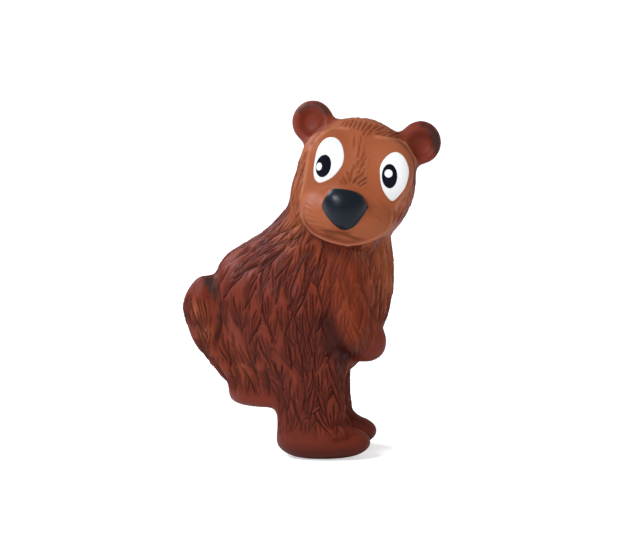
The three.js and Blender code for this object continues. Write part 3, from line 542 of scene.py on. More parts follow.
# Each lock is a leaf with a point, a little crowned, with a groove round it and strokes in it.
# A lock covers those that were laid before it.
LOCK_RISE = 0.35         # how much higher a lock's tip lies than its root
LOCK_CROWN = 0.4
LOCK_SINK = 0.38         # takes the relief back to the moulding's size
ROOT_FADE = 0.35         # how far above its root a lock begins, in shares of its length
GROOVE_REACH = 0.5       # half the width of a groove between locks
WEAK_SIDE = 0.35         # depth of that groove on a lock's weaker side, in shares of the other
STROKE_REACH = 0.48
STROKE_SHARE = (0.65, 1.0)   # depth of a stroke inside a lock, in shares of the groove
STROKE_WAVE = 0.55       # how far it swings aside
BUCKET = 8

cell_of = np.floor(base / BUCKET).astype(int)
low_cell = cell_of.min(0)
cell_of -= low_cell
cell_counts = cell_of.max(0) + 1
cell_key = np.ravel_multi_index(cell_of.T, cell_counts)
by_cell = np.argsort(cell_key, kind="stable")
cell_starts = np.searchsorted(cell_key[by_cell], np.arange(cell_counts.prod() + 1))


def points_near(place, radius):
    """Numbers of the skin's points in the buckets round a place."""
    low = np.maximum(np.floor((place - radius) / BUCKET).astype(int) - low_cell, 0)
    high = np.floor((place + radius) / BUCKET).astype(int) - low_cell
    high = np.minimum(high, cell_counts - 1)
    found = [np.zeros(0, dtype=int)]
    for x in range(low[0], high[0] + 1):
        for y in range(low[1], high[1] + 1):
            key = np.ravel_multi_index((x, y, low[2]), cell_counts)
            found.append(by_cell[cell_starts[key]:cell_starts[key + high[2] - low[2] + 1]])
    return np.concatenate(found)


relief = np.full(len(base), LOCK_SINK)
groove = np.zeros(len(base))
groove_depth = np.full(len(base), BODY_GROOVE)
for place, normal, run, width, length, bend, strokes, depth in locks:
    side = np.cross(normal, run)
    near_points = points_near(place + run * length / 2, length * 0.75)
    gap = base[near_points] - place
    along = gap @ run / length
    kept = (base_normals[near_points] @ normal > 0.1) & (along > -ROOT_FADE) & (along < 1.2)
    kept &= abs(gap @ normal) < 0.75 * length
    near_points, gap, along = near_points[kept], gap[kept], along[kept]
    across = gap @ side - bend * along * along
    half = width / 2 * np.clip(1 - np.maximum(along, 0) ** 2, 0, 1)
    inward = np.where(along < 1, half - abs(across), -np.hypot(across, (along - 1) * length))
    rooted = smoothstep(-ROOT_FADE, 0.0, along)
    share = across / np.maximum(half, 0.3)
    body = LOCK_RISE * along + LOCK_CROWN * (1 - np.clip(share, -1, 1) ** 2)
    over = smoothstep(-0.3, 0.3, inward) * rooted
    relief[near_points] += (body - relief[near_points]) * over
    ring = np.exp(-(inward / GROOVE_REACH) ** 2) * smoothstep(-0.05, 0.3, along)
    strong_side = random.choice((-1, 1))
    ring *= WEAK_SIDE + (1 - WEAK_SIDE) * smoothstep(-0.6, 0.4, share * strong_side)
    lines = np.zeros(len(near_points))
    phase = random.uniform(0, math.tau)
    for k in range(strokes):
        lean = 2 * (k + 1) / (strokes + 1) - 1 + random.uniform(-0.12, 0.12)
        begin = random.uniform(-0.2, 0.3)
        finish = 0.95 - 0.25 * abs(lean) - random.uniform(0, 0.15)
        strength = random.uniform(*STROKE_SHARE)
        wave = STROKE_WAVE * np.sin(math.tau * 0.9 * along + phase + random.uniform(-0.6, 0.6))
        reach = abs((share - lean) * half + wave)
        fade = smoothstep(begin, begin + 0.2, along)
        fade *= 1 - smoothstep(finish, finish + 0.12, along)
        lines = np.maximum(lines, strength * fade * np.exp(-(reach / STROKE_REACH) ** 2))
    covered = smoothstep(0.1, 0.6, inward) * rooted
    older = groove[near_points] * (1 - covered)
    groove[near_points] = np.maximum(older, np.maximum(ring, lines * (inward > 0)))
    mixed_in = smoothstep(-1.0, 0.5, inward) * rooted
    groove_depth[near_points] += (depth - groove_depth[near_points]) * mixed_in

# Where the mould was left smooth: the face, the ears, the paws, the tip of the tail, the feet and
# the boss. The arms are carved less deeply than the rest.
HEAD_EDGES = (23, 29)    # from the middle of the head, for the fur of the trunk
MUZZLE_RADIUS = 17.5     # round the line between the head's middle and the nose
MUZZLE_SIDES = 5         # how much wider it is above the chin
CHIN_HEIGHTS = (94, 98)
NOSE_POINT = (345, 205)
EARS = [((314, 120), 10.5), ((423, 140), 10.5)]
PAWS = [(25.5, -5, 51.8), (21.3, 19, 51.8)]
PAW_EDGES = (8, 13)
ARMS = [
    ((16.1, -10.7, 87.5), (17.5, -14.8, 58.6), (25.5, -5, 51.8)),
    ((16.1, 24.7, 87.5), (17.5, 28.8, 58.6), (21.3, 19, 51.8)),
]
TAIL_TIP = (210, 286)
TAIL_TIP_EDGES = (3, 8)
ARM_RADIUS = 10.3
ARM_FUR = 0.6
FOOT_HEIGHTS = (7, 17)   # between which the fur of the legs ends
BOSS_HEIGHTS = (25, 31)  # between which the fur above the boss ends


def distance_to_line(points, start, end):
    start, end = np.array(start), np.array(end)
    along = end - start
    share = np.clip((points - start) @ along / (along @ along), 0, 1)
    return np.linalg.norm(points - start - share[:, None] * along, axis=1)


# Each ear is a bowl: a point of the photograph, the half sizes across and up, and the depth.
EAR_BOWLS = [((311, 122), 6.2, 7.2, 1.5), ((421, 145), 6.6, 6.6, 2.0)]
EAR_RIM = 0.35           # height of the rim round it
EAR_DEPTH = 8            # how far behind its middle the bowl reaches
in_bowl = np.zeros(len(base), dtype=bool)

furred = np.ones(len(base))
for (x, y), radius in EARS:
    middle = np.array(on_surface(base_tree, x, y))
    furred *= smoothstep(radius, radius + 3, np.linalg.norm(base - middle, axis=1))
for middle in PAWS:
    furred *= smoothstep(*PAW_EDGES, np.linalg.norm(base - middle, axis=1))
for shoulder, elbow, hand in ARMS:
    from_arm = np.minimum(
        distance_to_line(base, shoulder, elbow), distance_to_line(base, elbow, hand)
    )
    furred *= ARM_FUR + (1 - ARM_FUR) * smoothstep(ARM_RADIUS, ARM_RADIUS + 4, from_arm)
from_tail_tip = np.linalg.norm(base - np.array(on_surface(base_tree, *TAIL_TIP)), axis=1)
furred *= smoothstep(*TAIL_TIP_EDGES, from_tail_tip)
furred *= smoothstep(*FOOT_HEIGHTS, base[:, 2])
on_boss = 1 - smoothstep(BOSS_RADIUS, BOSS_RADIUS + 3, from_plug)
furred *= 1 - on_boss * (1 - smoothstep(*BOSS_HEIGHTS, base[:, 2]))
seen_face = (base_normals @ np.array(view_back) > HEAD_FUR_FACING) | (base[:, 2] < HEAD_FUR_LIMIT)
off_head = smoothstep(*HEAD_EDGES, np.linalg.norm(base - HEAD_MIDDLE, axis=1))
nose_point = on_surface(base_tree, *NOSE_POINT)
from_muzzle = distance_to_line(base, HEAD_MIDDLE, nose_point) - MUZZLE_RADIUS
from_muzzle -= MUZZLE_SIDES * smoothstep(*CHIN_HEIGHTS, base[:, 2])
off_head *= smoothstep(0, 2, from_muzzle)
furred *= np.where(seen_face, off_head, 1)

relief = (relief - LOCK_SINK) * groove_depth / BODY_GROOVE - groove * groove_depth
relief *= furred
groove *= furred
for (x, y), half_width, half_height, depth in EAR_BOWLS:
    gap = base - np.array(on_surface(base_tree, x, y))
    aside, above = gap @ np.array(view_right), gap @ np.array(view_up)
    inside = np.hypot(aside / half_width, above / half_height)
    facing = smoothstep(0.1, 0.5, base_normals @ np.array(view_back))
    facing *= abs(gap @ np.array(view_back)) < EAR_DEPTH
    relief -= depth * (1 - smoothstep(0.35, 1.0, inside)) * facing
    in_bowl |= (inside < 1) & (facing > 0)
    relief += EAR_RIM * np.exp(-((inside - 1.12) / 0.14) ** 2) * facing

# Lines that were cut or raised one by one: points of the photograph, half the width, the depth,
# below zero for a ridge with a painted highlight, and how dark it is: dark paint and painted shade.
LINES = [
    # mouth, lip and chin, with painted shade in the mouth and under the lip
    (
        [(315, 229), (323, 231), (332, 232.5), (342, 235), (351, 237.5), (359, 239.5), (367, 239)],
        0.9, 0.9, 1.0,
    ),
    ([(320, 232), (331, 234), (342, 233.5), (352, 235.5)], 2.2, 0.35, 0.85),
    (
        [(302, 208), (302.5, 215), (305, 223), (311, 230), (318, 235), (330, 240), (343, 243),
         (352, 243.5)],
        0.75, -0.9, 0,
    ),
    (
        [(343, 243), (355, 243), (366, 240.5), (376, 236), (385, 230), (390, 221), (391, 211)],
        0.75, -0.9, 0,
    ),
    (
        [(300, 216), (304, 227), (312, 235), (322, 241), (334, 245.5), (346, 247.5), (360, 246),
         (372, 243), (383, 237), (391, 229)],
        1.2, 0.7, 0.9,
    ),
    # edge of the mask round the face, with painted highlights on its ridges
    (
        [(300, 203), (301, 196), (303, 188), (305, 178), (307, 164), (309.5, 150), (313, 143)],
        0.9, -0.6, 0,
    ),
    ([(313, 143), (319, 136.5), (327.5, 130.5), (335, 128.3), (343, 128.3), (351, 129)], 0.9, -0.6, 0),
    ([(310, 146), (315, 138.5), (322, 132)], 0.7, 0.4, 0.4),
    (
        [(372, 135), (380, 137.5), (390, 138.5), (400, 141), (407, 146.5), (411.8, 153), (414, 161),
         (414, 170)],
        1.1, -0.6, 0,
    ),
    ([(407, 187), (401, 197), (396, 203), (395, 211)], 0.8, -0.5, 0),
    # cape from the neck down the back
    (
        [(288, 230), (283.8, 246.5), (273.8, 254), (263, 262.3), (244.8, 268.9), (235.7, 275.5),
         (224, 281)],
        0.75, 0.9, 1.0,
    ),
    # creases between limbs, dark with painted shade
    ([(324, 312), (330, 330), (337, 346), (346, 358), (357, 362)], 2.4, 1.4, 0.9),
    (
        [(213, 275), (216, 284), (218.5, 297), (219.5, 312), (218, 330), (215, 343), (217, 356)],
        1.3, 1.35, 1.0,
    ),
    ([(360, 280), (366, 295), (372, 311), (382, 322)], 1.4, 0.6, 0.4),
    ([(330, 441), (338, 439), (346, 436), (353, 430)], 1.7, 0.8, 0.6),
    # between the eyes
    ([(360, 142), (359, 150), (357.5, 158)], 0.42, 0.57, 0.45),
    ([(359, 160), (356.5, 166), (354, 170)], 0.47, 0.62, 0.52),
    ([(365.5, 150), (362.5, 157), (360, 162)], 0.47, 0.62, 0.52),
    ([(367, 155), (362, 164), (358.5, 168.5)], 0.47, 0.62, 0.52),
    ([(366, 161), (360.5, 170), (356.5, 174)], 0.47, 0.62, 0.52),
    ([(366, 167), (361, 174), (356, 178.5), (352.5, 185)], 0.47, 0.67, 0.59),
    ([(366, 171.5), (360.5, 177), (355.5, 182)], 0.47, 0.62, 0.59),
    ([(367, 177), (361, 181), (357, 184.5)], 0.47, 0.62, 0.52),
    ([(367, 181), (362, 184.5), (359, 187)], 0.42, 0.52, 0.45),
    ([(355, 163), (352, 172), (350.5, 181)], 0.47, 0.57, 0.45),
    ([(346.5, 171), (349, 177), (350.5, 183)], 0.47, 0.57, 0.45),
    ([(342, 176), (345, 181), (347, 185)], 0.47, 0.57, 0.45),
    ([(339, 179.5), (341, 182), (342, 185)], 0.42, 0.52, 0.39),
    ([(355, 135), (354, 142), (353.5, 147)], 0.42, 0.52, 0.33),
    ([(361.5, 135), (361, 139), (361, 143)], 0.42, 0.52, 0.33),
    # crown
    ([(346, 119), (343, 123), (341, 125.5)], 0.47, 0.47, 0.33),
    ([(350, 118.5), (346.5, 124), (344.5, 128)], 0.47, 0.52, 0.39),
    ([(354, 119), (351, 124), (349, 127)], 0.47, 0.52, 0.39),
    ([(357.5, 119.5), (355, 125), (353.5, 128.5)], 0.47, 0.52, 0.39),
    ([(363, 120), (359.5, 125.5), (357.5, 130)], 0.47, 0.57, 0.45),
    ([(368, 121), (364, 126), (361, 131)], 0.47, 0.57, 0.45),
    ([(373, 123), (368.5, 127.5), (365, 131), (362.5, 136)], 0.47, 0.62, 0.52),
    ([(379, 124.5), (373, 128.5), (368.5, 132)], 0.47, 0.62, 0.52),
    ([(377, 129.5), (371, 132), (366, 135)], 0.47, 0.57, 0.45),
    ([(385, 126.5), (379, 129), (375, 131)], 0.47, 0.52, 0.39),
    ([(388, 131), (381, 132.5), (374, 134.5)], 0.47, 0.57, 0.52),
    ([(394, 131), (388, 133), (382, 135.5)], 0.47, 0.52, 0.45),
    ([(400, 132.5), (393, 134.5), (387, 137.5)], 0.47, 0.52, 0.45),
    ([(399, 137), (394, 138), (389, 139.5)], 0.42, 0.47, 0.33),
    # cheek and neck at the left
    ([(310, 149), (305, 158), (301, 166)], 0.45, 0.5, 0.6),
    ([(307, 150), (301, 162), (297, 171)], 0.45, 0.5, 0.7),
    ([(306, 160), (302, 170), (299, 180)], 0.45, 0.6, 0.8),
    ([(304, 167), (299.5, 178), (296, 188)], 0.45, 0.6, 0.8),
    ([(297, 168), (294, 177), (292, 186)], 0.45, 0.5, 0.7),
    ([(300, 176), (296, 188), (293, 197), (291.5, 205)], 0.45, 0.6, 0.9),
    ([(303, 180), (299.5, 190), (297, 200), (295.5, 208)], 0.45, 0.6, 0.8),
    ([(296, 195), (294, 204), (293, 213)], 0.45, 0.5, 0.7),
    ([(301, 190), (300, 200), (298, 210)], 0.45, 0.5, 0.7),
    ([(292, 190), (290.5, 200), (289.5, 206)], 0.4, 0.4, 0.6),
    ([(300, 212), (294, 219), (289, 226)], 0.5, 0.6, 0.8),
    ([(297, 219), (292, 228), (290, 238)], 0.5, 0.6, 0.9),
    ([(301, 226), (299, 236), (296, 246)], 0.5, 0.6, 0.9),
    ([(305, 228), (303.5, 236), (299, 246)], 0.5, 0.6, 0.8),
    ([(293, 230), (291, 240), (287, 247)], 0.5, 0.6, 0.9),
    ([(309, 234), (307.5, 240), (305, 246)], 0.5, 0.5, 0.8),
    # throat and cheek at the right
    ([(407, 187), (404, 196), (403, 203)], 0.4, 0.5, 0.7),
    ([(411, 183), (408, 194), (406, 203)], 0.4, 0.5, 0.7),
    ([(400, 205), (398, 212), (396, 218)], 0.4, 0.5, 0.8),
    ([(395, 208), (394, 216), (392, 223)], 0.4, 0.5, 0.9),
    ([(404, 205), (400, 214), (396, 222)], 0.4, 0.5, 0.7),
    # whiskers
    ([(304, 203), (308, 205), (312, 208)], 0.4, 0.22, 0.3),
    ([(303, 208), (308, 210), (313, 213)], 0.4, 0.22, 0.3),
    ([(304, 214), (309, 216), (315, 218)], 0.4, 0.22, 0.3),
    ([(307, 220), (313, 222), (319, 223)], 0.4, 0.22, 0.3),
    ([(312, 226), (318, 227.5), (325, 227.5)], 0.4, 0.2, 0.25),
    ([(309, 199), (313, 202), (316, 206)], 0.4, 0.2, 0.25),
    ([(376, 197), (381, 202), (385, 208)], 0.4, 0.2, 0.25),
    ([(372, 204), (378, 208), (384, 214)], 0.4, 0.2, 0.25),
    ([(370, 212), (376, 216), (383, 220)], 0.4, 0.2, 0.25),
]
LINE_FADE = 0.22         # share of a line over which it begins and ends
DEEPEST_CUT = 1.35       # leaves a wall wherever two cuts cross
HEAPED_WIDTH = 0.6       # narrower lines have their edges pushed up
HEAP_SHARE = 0.5         # by this share of their depth
ridge_highlight = np.zeros(len(base))

for outline, half_width, depth, darkness in LINES:
    hits = (base_tree.ray_cast(eye_point, sight_line(*p))[0] for p in flowing(outline, 0.5))
    path = np.array([hit for hit in hits if hit is not None])
    low, high = path.min(0) - 3 * half_width, path.max(0) + 3 * half_width
    close = np.flatnonzero(((base > low) & (base < high)).all(1))
    gaps = np.linalg.norm(base[close][:, None] - path[None], axis=2)
    nearest = gaps.argmin(1)
    at = nearest / (len(path) - 1)
    fade = smoothstep(0, LINE_FADE, at) * smoothstep(0, LINE_FADE, 1 - at)
    if depth < 0:
        fade = smoothstep(0, LINE_FADE / 2, at) * smoothstep(0, LINE_FADE / 2, 1 - at)
    shape = np.exp(-(gaps.min(1) / half_width) ** 2) * fade
    relief[close] -= depth * shape
    if 0 < half_width < HEAPED_WIDTH:
        beside = (gaps.min(1) - 2.2 * half_width) / half_width
        relief[close] += HEAP_SHARE * depth * np.exp(-beside ** 2) * fade
    # The dark of a cut is dark paint together with painted shade.
    groove[close] = np.maximum(groove[close], darkness * shape)
    # A raised line gets a painted highlight along it.
    if depth < 0:
        ridge_highlight[close] = np.maximum(ridge_highlight[close], shape)

relief = np.where(in_bowl, relief, np.maximum(relief, -DEEPEST_CUT))
carved = base + base_normals * relief[:, None]
carved[:, 2] = np.maximum(carved[:, 2], 0)
move_points(skin_mesh, carved)

# Thinned where it is smooth, so that the fur keeps its edges.
solid = placed("solid", skin_mesh)
skin_mesh.calc_loop_triangles()
triangles = len(skin_mesh.loop_triangles)
thinning = solid.modifiers.new("thinning", "DECIMATE")
thinning.ratio = min(1, SKIN_TRIANGLES / triangles)
thin_mesh = applied(solid)
bpy.data.objects.remove(solid)

# Sprays of colour: a point of the photograph, the radius and the softness of each spot, for the
# airbrushed pale tan of the face, the orange of the chest, the red of the ears, the smoke on the ears'
# rims and the tail, where painted shade is added along its crease, and painted shade in the creases.
SPRAYS = {
    "tan": [
        ((345, 150), 22, 12), ((345, 212), 14, 5), ((368, 214), 11, 5), ((320, 213), 9, 4),
        ((395, 170), 12, 10), ((405, 194), 8, 6), ((300, 190), 6, 10), ((295, 216), 3, 7),
        ((389, 250), 5, 9), ((392, 232), 3, 7), ((384, 266), 2, 9), ((390, 282), 0, 8),
        ((370, 244), 0, 8),
    ],
    "pale": [
        ((296, 210), 7, 10), ((198, 311), 0, 8), ((388, 262), 7, 10), ((378, 256), 5, 9),
        ((383, 284), 5, 9), ((386, 244), 8, 8), ((390, 228), 5, 7), ((372, 250), 5, 7),
        ((292, 226), 6, 9), ((203, 332), 0, 7),
    ],
    "ear": [((311, 121), 8, 6), ((424, 143), 8, 6)],
    "warm": [
        ((365, 270), 13, 17), ((372, 300), 8, 14), ((320, 250), 10, 12), ((352, 330), 4, 14),
        ((226, 350), 3, 14), ((244, 366), 3, 12), ((205, 340), 1, 8), ((240, 250), 2, 10),
    ],
    "smoke_and_shade": [
        # The first three spots darken the tail's tip beside its crease: dark paint together with painted
        # shade of the gap between tail and back. The rest are smoke paint on the ears' rims.
        ((209, 280), 1, 4), ((213, 289), 0.5, 3.5), ((215, 298), 0, 3), ((300, 110), 0, 2.8),
        ((307, 105), 0, 2.8), ((315, 104), 0, 2.8), ((322, 107), 0, 3), ((326, 112), 0, 2.8),
        ((423, 124), 0, 3), ((430, 128), 0, 3.5), ((434, 135), 0.5, 3.5), ((436, 143), 0.5, 3.5),
        ((436, 150), 0, 3),
    ],
    # Painted shade in the hollow between arm and thigh and along the tail's crease.
    "shade": [
        ((326, 322), 1, 7), ((330, 336), 2, 7), ((336, 348), 3, 7), ((345, 357), 3, 6),
        ((217, 292), 0.5, 3), ((219, 305), 0.5, 3), ((219, 318), 0.5, 3), ((217, 335), 0, 3),
    ],
}
FOOT_SHADE = 0.85        # painted shade that darkens the feet towards the floor
FOOT_SHADE_EDGES = (1, 14)

thin_points = points_of(thin_mesh)
lookup = KDTree(len(base))
for i, point in enumerate(carved):
    lookup.insert(point, i)
lookup.balance()
nearest = np.array([lookup.find(point)[1] for point in thin_points])
marks = {"groove": groove[nearest], "ridge_highlight": ridge_highlight[nearest]}
for spray, spots in SPRAYS.items():
    clear = np.ones(len(thin_points))
    for (x, y), radius, soft in spots:
        middle = np.array(on_surface(base_tree, x, y))
        distance = np.linalg.norm(thin_points - middle, axis=1)
        clear *= smoothstep(radius, radius + soft, distance)
    marks[spray] = 1 - clear
foot_shade = FOOT_SHADE * (1 - smoothstep(*FOOT_SHADE_EDGES, thin_points[:, 2]))
marks["shade"] = np.maximum(marks["shade"], foot_shade)

shell = bmesh.new()
shell.from_mesh(thin_mesh)
layers = {name: shell.verts.layers.float.new(name) for name in marks}
for i, v in enumerate(shell.verts):
    for name, values in marks.items():
        v[layers[name]] = values[i]

# The bore is opened in the ceiling of the recess, and the CAD skin's inside comes in. The ring
# between the two is filled. This doesn't come out the same in each run: some runs close the ring
# well, and others leave faces across the bore.
MOUTH_HEIGHT = 0.6       # how far above and below the ceiling a face may have a corner
MOUTH_MARGIN = 0.4       # beyond the bore's wall
lower = [
    f for f in shell.faces
    if any(
        near(v.co.z / MM, SEAT_HEIGHT, MOUTH_HEIGHT)
        and np.hypot(v.co.x / MM - PLUG_AXIS[0], v.co.y / MM - PLUG_AXIS[1]) < BORE_RADIUS + MOUTH_MARGIN
        for v in f.verts
    )
]
bmesh.ops.delete(shell, geom=lower, context="FACES")
inner_at = {}
for f in cad_skin.faces:
    if f not in outer_faces:
        for v in f.verts:
            if v.index not in inner_at:
                inner_at[v.index] = shell.verts.new(v.co)
        shell.faces.new([inner_at[v.index] for v in f.verts])
cad_skin.free()
open_edges = [e for e in shell.edges if e.is_boundary]
bmesh.ops.triangle_fill(shell, edges=open_edges, use_beauty=True)
bmesh.ops.recalc_face_normals(shell, faces=shell.faces)
final_mesh = bpy.data.meshes.new("latex_moulding")
shell.to_mesh(final_mesh)
shell.free()
for polygon in final_mesh.polygons:
    polygon.use_smooth = True
latex_skin = placed("latex_moulding", final_mesh)

# Natural latex with pigment, satin where the mould was: soft highlights, painted highlights on the
# ridges, and dark paint with painted shade in the grooves.
LATEX_BODY = "#702B19"
LATEX_WARM = "#7C3218"
LATEX_TAN = "#9D5533"
LATEX_EAR = "#7A3322"
LATEX_PALE = "#944A2E"
LATEX_RIDGE_HIGHLIGHT = "#C07E5C"
LATEX_TAN_GROOVE_SHADE = "#74361A"
LATEX_GROOVE_AND_SHADE = "#300A04"
LATEX_SMOKE_AND_SHADE = "#3A2622"
RIDGE_HIGHLIGHT_STRENGTH = 0.55
SHADE_STRENGTH = 0.7
GROOVE_SHADE_STRENGTH = 0.92
latex_material, tree, surface = new_material("natural_latex_satin")


def mixed(tree, share, first, second):
    """Colour between two others. Each is a hex colour or an output."""
    node = add_node(tree, "ShaderNodeMix", data_type="RGBA")
    for socket, value in ((0, share), (6, first), (7, second)):
        if isinstance(value, str):
            node.inputs[socket].default_value = (*linear(value), 1)
        elif isinstance(value, bpy.types.NodeSocket):
            tree.links.new(value, node.inputs[socket])
        else:
            node.inputs[socket].default_value = value
    return node.outputs[2]


def mark(tree, name, strength=None):
    """A mark that the skin's points carry, made weaker if a strength is given."""
    share = add_node(tree, "ShaderNodeAttribute", attribute_name=name).outputs["Fac"]
    if strength is None:
        return share
    return add_node(tree, "ShaderNodeMath", {0: share, 1: strength}, operation="MULTIPLY").outputs[0]


colour = mixed(tree, mark(tree, "warm"), LATEX_BODY, LATEX_WARM)
colour = mixed(tree, mark(tree, "pale"), colour, LATEX_PALE)
colour = mixed(tree, mark(tree, "tan"), colour, LATEX_TAN)
colour = mixed(tree, mark(tree, "ear"), colour, LATEX_EAR)
colour = mixed(tree, mark(tree, "smoke_and_shade"), colour, LATEX_SMOKE_AND_SHADE)
# Painted highlights on the raised lines.
colour = mixed(tree, mark(tree, "ridge_highlight", RIDGE_HIGHLIGHT_STRENGTH), colour, LATEX_RIDGE_HIGHLIGHT)
# Painted shade in the creases and at the feet.
colour = mixed(tree, mark(tree, "shade", SHADE_STRENGTH), colour, LATEX_GROOVE_AND_SHADE)
# Dark paint together with painted shade in the grooves and the cut lines.
groove_shade_colour = mixed(tree, mark(tree, "tan"), LATEX_GROOVE_AND_SHADE, LATEX_TAN_GROOVE_SHADE)
colour = mixed(tree, mark(tree, "groove", GROOVE_SHADE_STRENGTH), colour, groove_shade_colour)


def object_noise(tree, scale, detail):
    """Noise that is fixed to the object."""
    place = add_node(tree, "ShaderNodeTexCoord").outputs["Object"]
    noise = add_node(tree, "ShaderNodeTexNoise", {"Vector": place, "Scale": scale, "Detail": detail})
    return noise.outputs["Fac"]


def bumps(tree, height, strength, distance):
    """Fine roughness, its height in metres."""
    sockets = {"Strength": strength, "Distance": distance, "Height": height}
    return add_node(tree, "ShaderNodeBump", sockets).outputs[0]


def surface_shader(tree, surface, sockets):
    """A Principled shader on the material's output."""
    shader = add_node(tree, "ShaderNodeBsdfPrincipled", sockets)
    tree.links.new(shader.outputs[0], surface)


surface_shader(tree, surface, {
    "Base Color": colour,
    "Roughness": 0.5,
    "IOR": 1.52,
    "Specular IOR Level": 0.15,
    "Normal": bumps(tree, object_noise(tree, 1400, 3), 0.12, 0.0002),
})
final_mesh.materials.append(latex_material)
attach(latex_skin, "toy")
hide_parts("latex_skin")

# Eyes
# Each eye is brushed on the finished skin in three coats of flexible paint: a white, a black
# pupil over it and a white dot that stands for the light.
skin_tree = surface_tree(final_mesh)
COATS = {
    "eye_white_right": [
        (328.9, 136.8), (336, 137.9), (341.1, 144), (343.4, 154.2), (342.1, 163.4), (337, 171.5),
        (329.9, 178.2), (319.7, 182.2), (314.6, 178.7), (313.1, 170.5), (314.6, 158.3),
        (317.7, 147), (322.8, 139.9),
    ],
    "eye_white_left": [
        (395.2, 151.6), (402.3, 155.2), (406.9, 163.4), (408.3, 172.6), (405.4, 184.8),
        (400.3, 193), (392.1, 200.4), (386, 195.5), (381.4, 186.8), (379.4, 174.6),
        (380.4, 164.4), (387, 155.2),
    ],
}
WHITE_LIFT = 0.25        # of the film's top above the skin
COAT_SINK = 0.3          # of its underside below the skin
PAINT_STEP = 0.12        # how much higher each coat lies than the one under it
PUPIL_START = 0.1        # of the undersides of the coats that lie on the white
GLINT_START = 0.2
RIM_STEP = 0.7
RIM_DRAW = 0.98
ROUNDED_FROM = 0.9       # share of the way out from which the film thins towards its rim
RIM_SHARE = 0.25         # what is left of its height there
COAT_ROUNDS = (0, 0.15, 0.3, 0.45, 0.6, 0.7, 0.79, 0.86, 0.91, 0.95, 0.98, 1)


def coat(name, outline, lift, sink, material, reach_back=30):
    """A closed film of paint on the skin, inside an outline drawn on the photograph.

    The outline is drawn in where the skin lies further than reach_back behind its middle.
    """
    rim = flowing(outline, RIM_STEP, closed=True)
    count = len(rim)
    middle = sum(rim, Vector((0, 0))) / count
    front = on_surface(skin_tree, *middle)
    for k in range(count):
        while (front - on_surface(skin_tree, *rim[k])).dot(view_back) > reach_back:
            rim[k] = middle + (rim[k] - middle) * RIM_DRAW
    rings = []
    for share in COAT_ROUNDS:
        rings.append([on_surface(skin_tree, *(middle + (p - middle) * share)) for p in rim])
    outward = []
    for level in range(len(rings)):
        inner, outer = rings[max(level - 1, 0)], rings[min(level + 1, len(rings) - 1)]
        ring = rings[max(level, 2)]
        across = [(outer[k] - inner[k]).normalized() for k in range(count)]
        round_it = [(ring[(k + 2) % count] - ring[k - 2]).normalized() for k in range(count)]
        normals = [a.cross(b) for a, b in zip(across, round_it)]
        normals = [n if n.dot(view_back) > 0 else -n for n in normals]
        normals = [
            sum((normals[(k + i) % count] for i in (-2, -1, 0, 1, 2)), Vector())
            for k in range(count)
        ]
        outward.append([n.normalized() for n in normals])
    whole = sum(outward[0], Vector()).normalized()
    outward[0] = [whole] * count
    points = []
    for share, ring, normals in zip(COAT_ROUNDS, rings, outward):
        edge = max(0, (share - ROUNDED_FROM) / 0.1)
        fullness = RIM_SHARE + (1 - RIM_SHARE) * math.sqrt(max(0, 1 - edge ** 2))
        low = max(0, -sink)
        height = low + (lift - low) * fullness
        points += [p + n * height for p, n in zip(ring, normals)]
    under = len(points)
    for ring, normals in zip(rings, outward):
        points += [p - n * sink for p, n in zip(ring, normals)]
    faces = []
    for level in range(len(rings) - 1):
        for k in range(count):
            a, b = level * count + k, level * count + (k + 1) % count
            faces.append((a, b, b + count, a + count))
            faces.append((under + a, under + a + count, under + b + count, under + b))
    last = (len(rings) - 1) * count
    for k in range(count):
        a, b = last + k, last + (k + 1) % count
        faces.append((a, b, under + b, under + a))
    piece = mesh_piece(name, points, faces, material)
    mesh = bmesh.new()
    mesh.from_mesh(piece.data)
    bmesh.ops.remove_doubles(mesh, verts=mesh.verts, dist=0.001 * MM)
    bmesh.ops.recalc_face_normals(mesh, faces=mesh.faces)
    mesh.to_mesh(piece.data)
    mesh.free()
    for polygon in piece.data.polygons:
        polygon.use_smooth = True
    return piece


white_material, tree, surface = new_material("white_flexible_paint")
surface_shader(tree, surface, {
    "Base Color": (*linear("#F0F2F1"), 1),
    "Roughness": 0.4,
    "IOR": 1.5,
})
black_material, tree, surface = new_material("black_flexible_paint")
surface_shader(tree, surface, {
    "Base Color": (*linear("#050816"), 1),
    "Roughness": 0.4,
    "IOR": 1.5,
    "Specular IOR Level": 0.12,
})


def turned_oval(middle, width, height, lean):
    """An upright oval on the photograph, leaning by an angle."""
    oval = []
    for k in range(12):
        angle = math.tau * k / 12
        x, y = width / 2 * math.sin(angle), -height / 2 * math.cos(angle)
        oval.append((
            middle[0] + x * math.cos(lean) - y * math.sin(lean),
            middle[1] + x * math.sin(lean) + y * math.cos(lean),
        ))
    return oval


for name, outline in COATS.items():
    white = coat(name + "_coat", outline, WHITE_LIFT, COAT_SINK, white_material)
    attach(white, "toy")
    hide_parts(name)

PUPILS = {
    "right": ((323, 165.4), 15, 23, math.radians(12)),
    "left": ((389, 175.6), 15.5, 24.5, math.radians(0)),
}
GLINTS = {
    "right": ((318.8, 166), 5.6, 8, math.radians(8)),
    "left": ((388, 173), 8.2, 8.2, 0),
}
for side, oval in PUPILS.items():
    lift = WHITE_LIFT + PAINT_STEP
    pupil = coat(f"pupil_{side}_coat", turned_oval(*oval), lift, -PUPIL_START, black_material)
    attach(pupil, "toy")
    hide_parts(f"pupil_{side}")
for side, oval in GLINTS.items():
    lift = WHITE_LIFT + 2 * PAINT_STEP
    glint = coat(f"eye_glint_{side}_coat", turned_oval(*oval), lift, -GLINT_START, white_material)
    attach(glint, "toy")
    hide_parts(f"eye_glint_{side}")

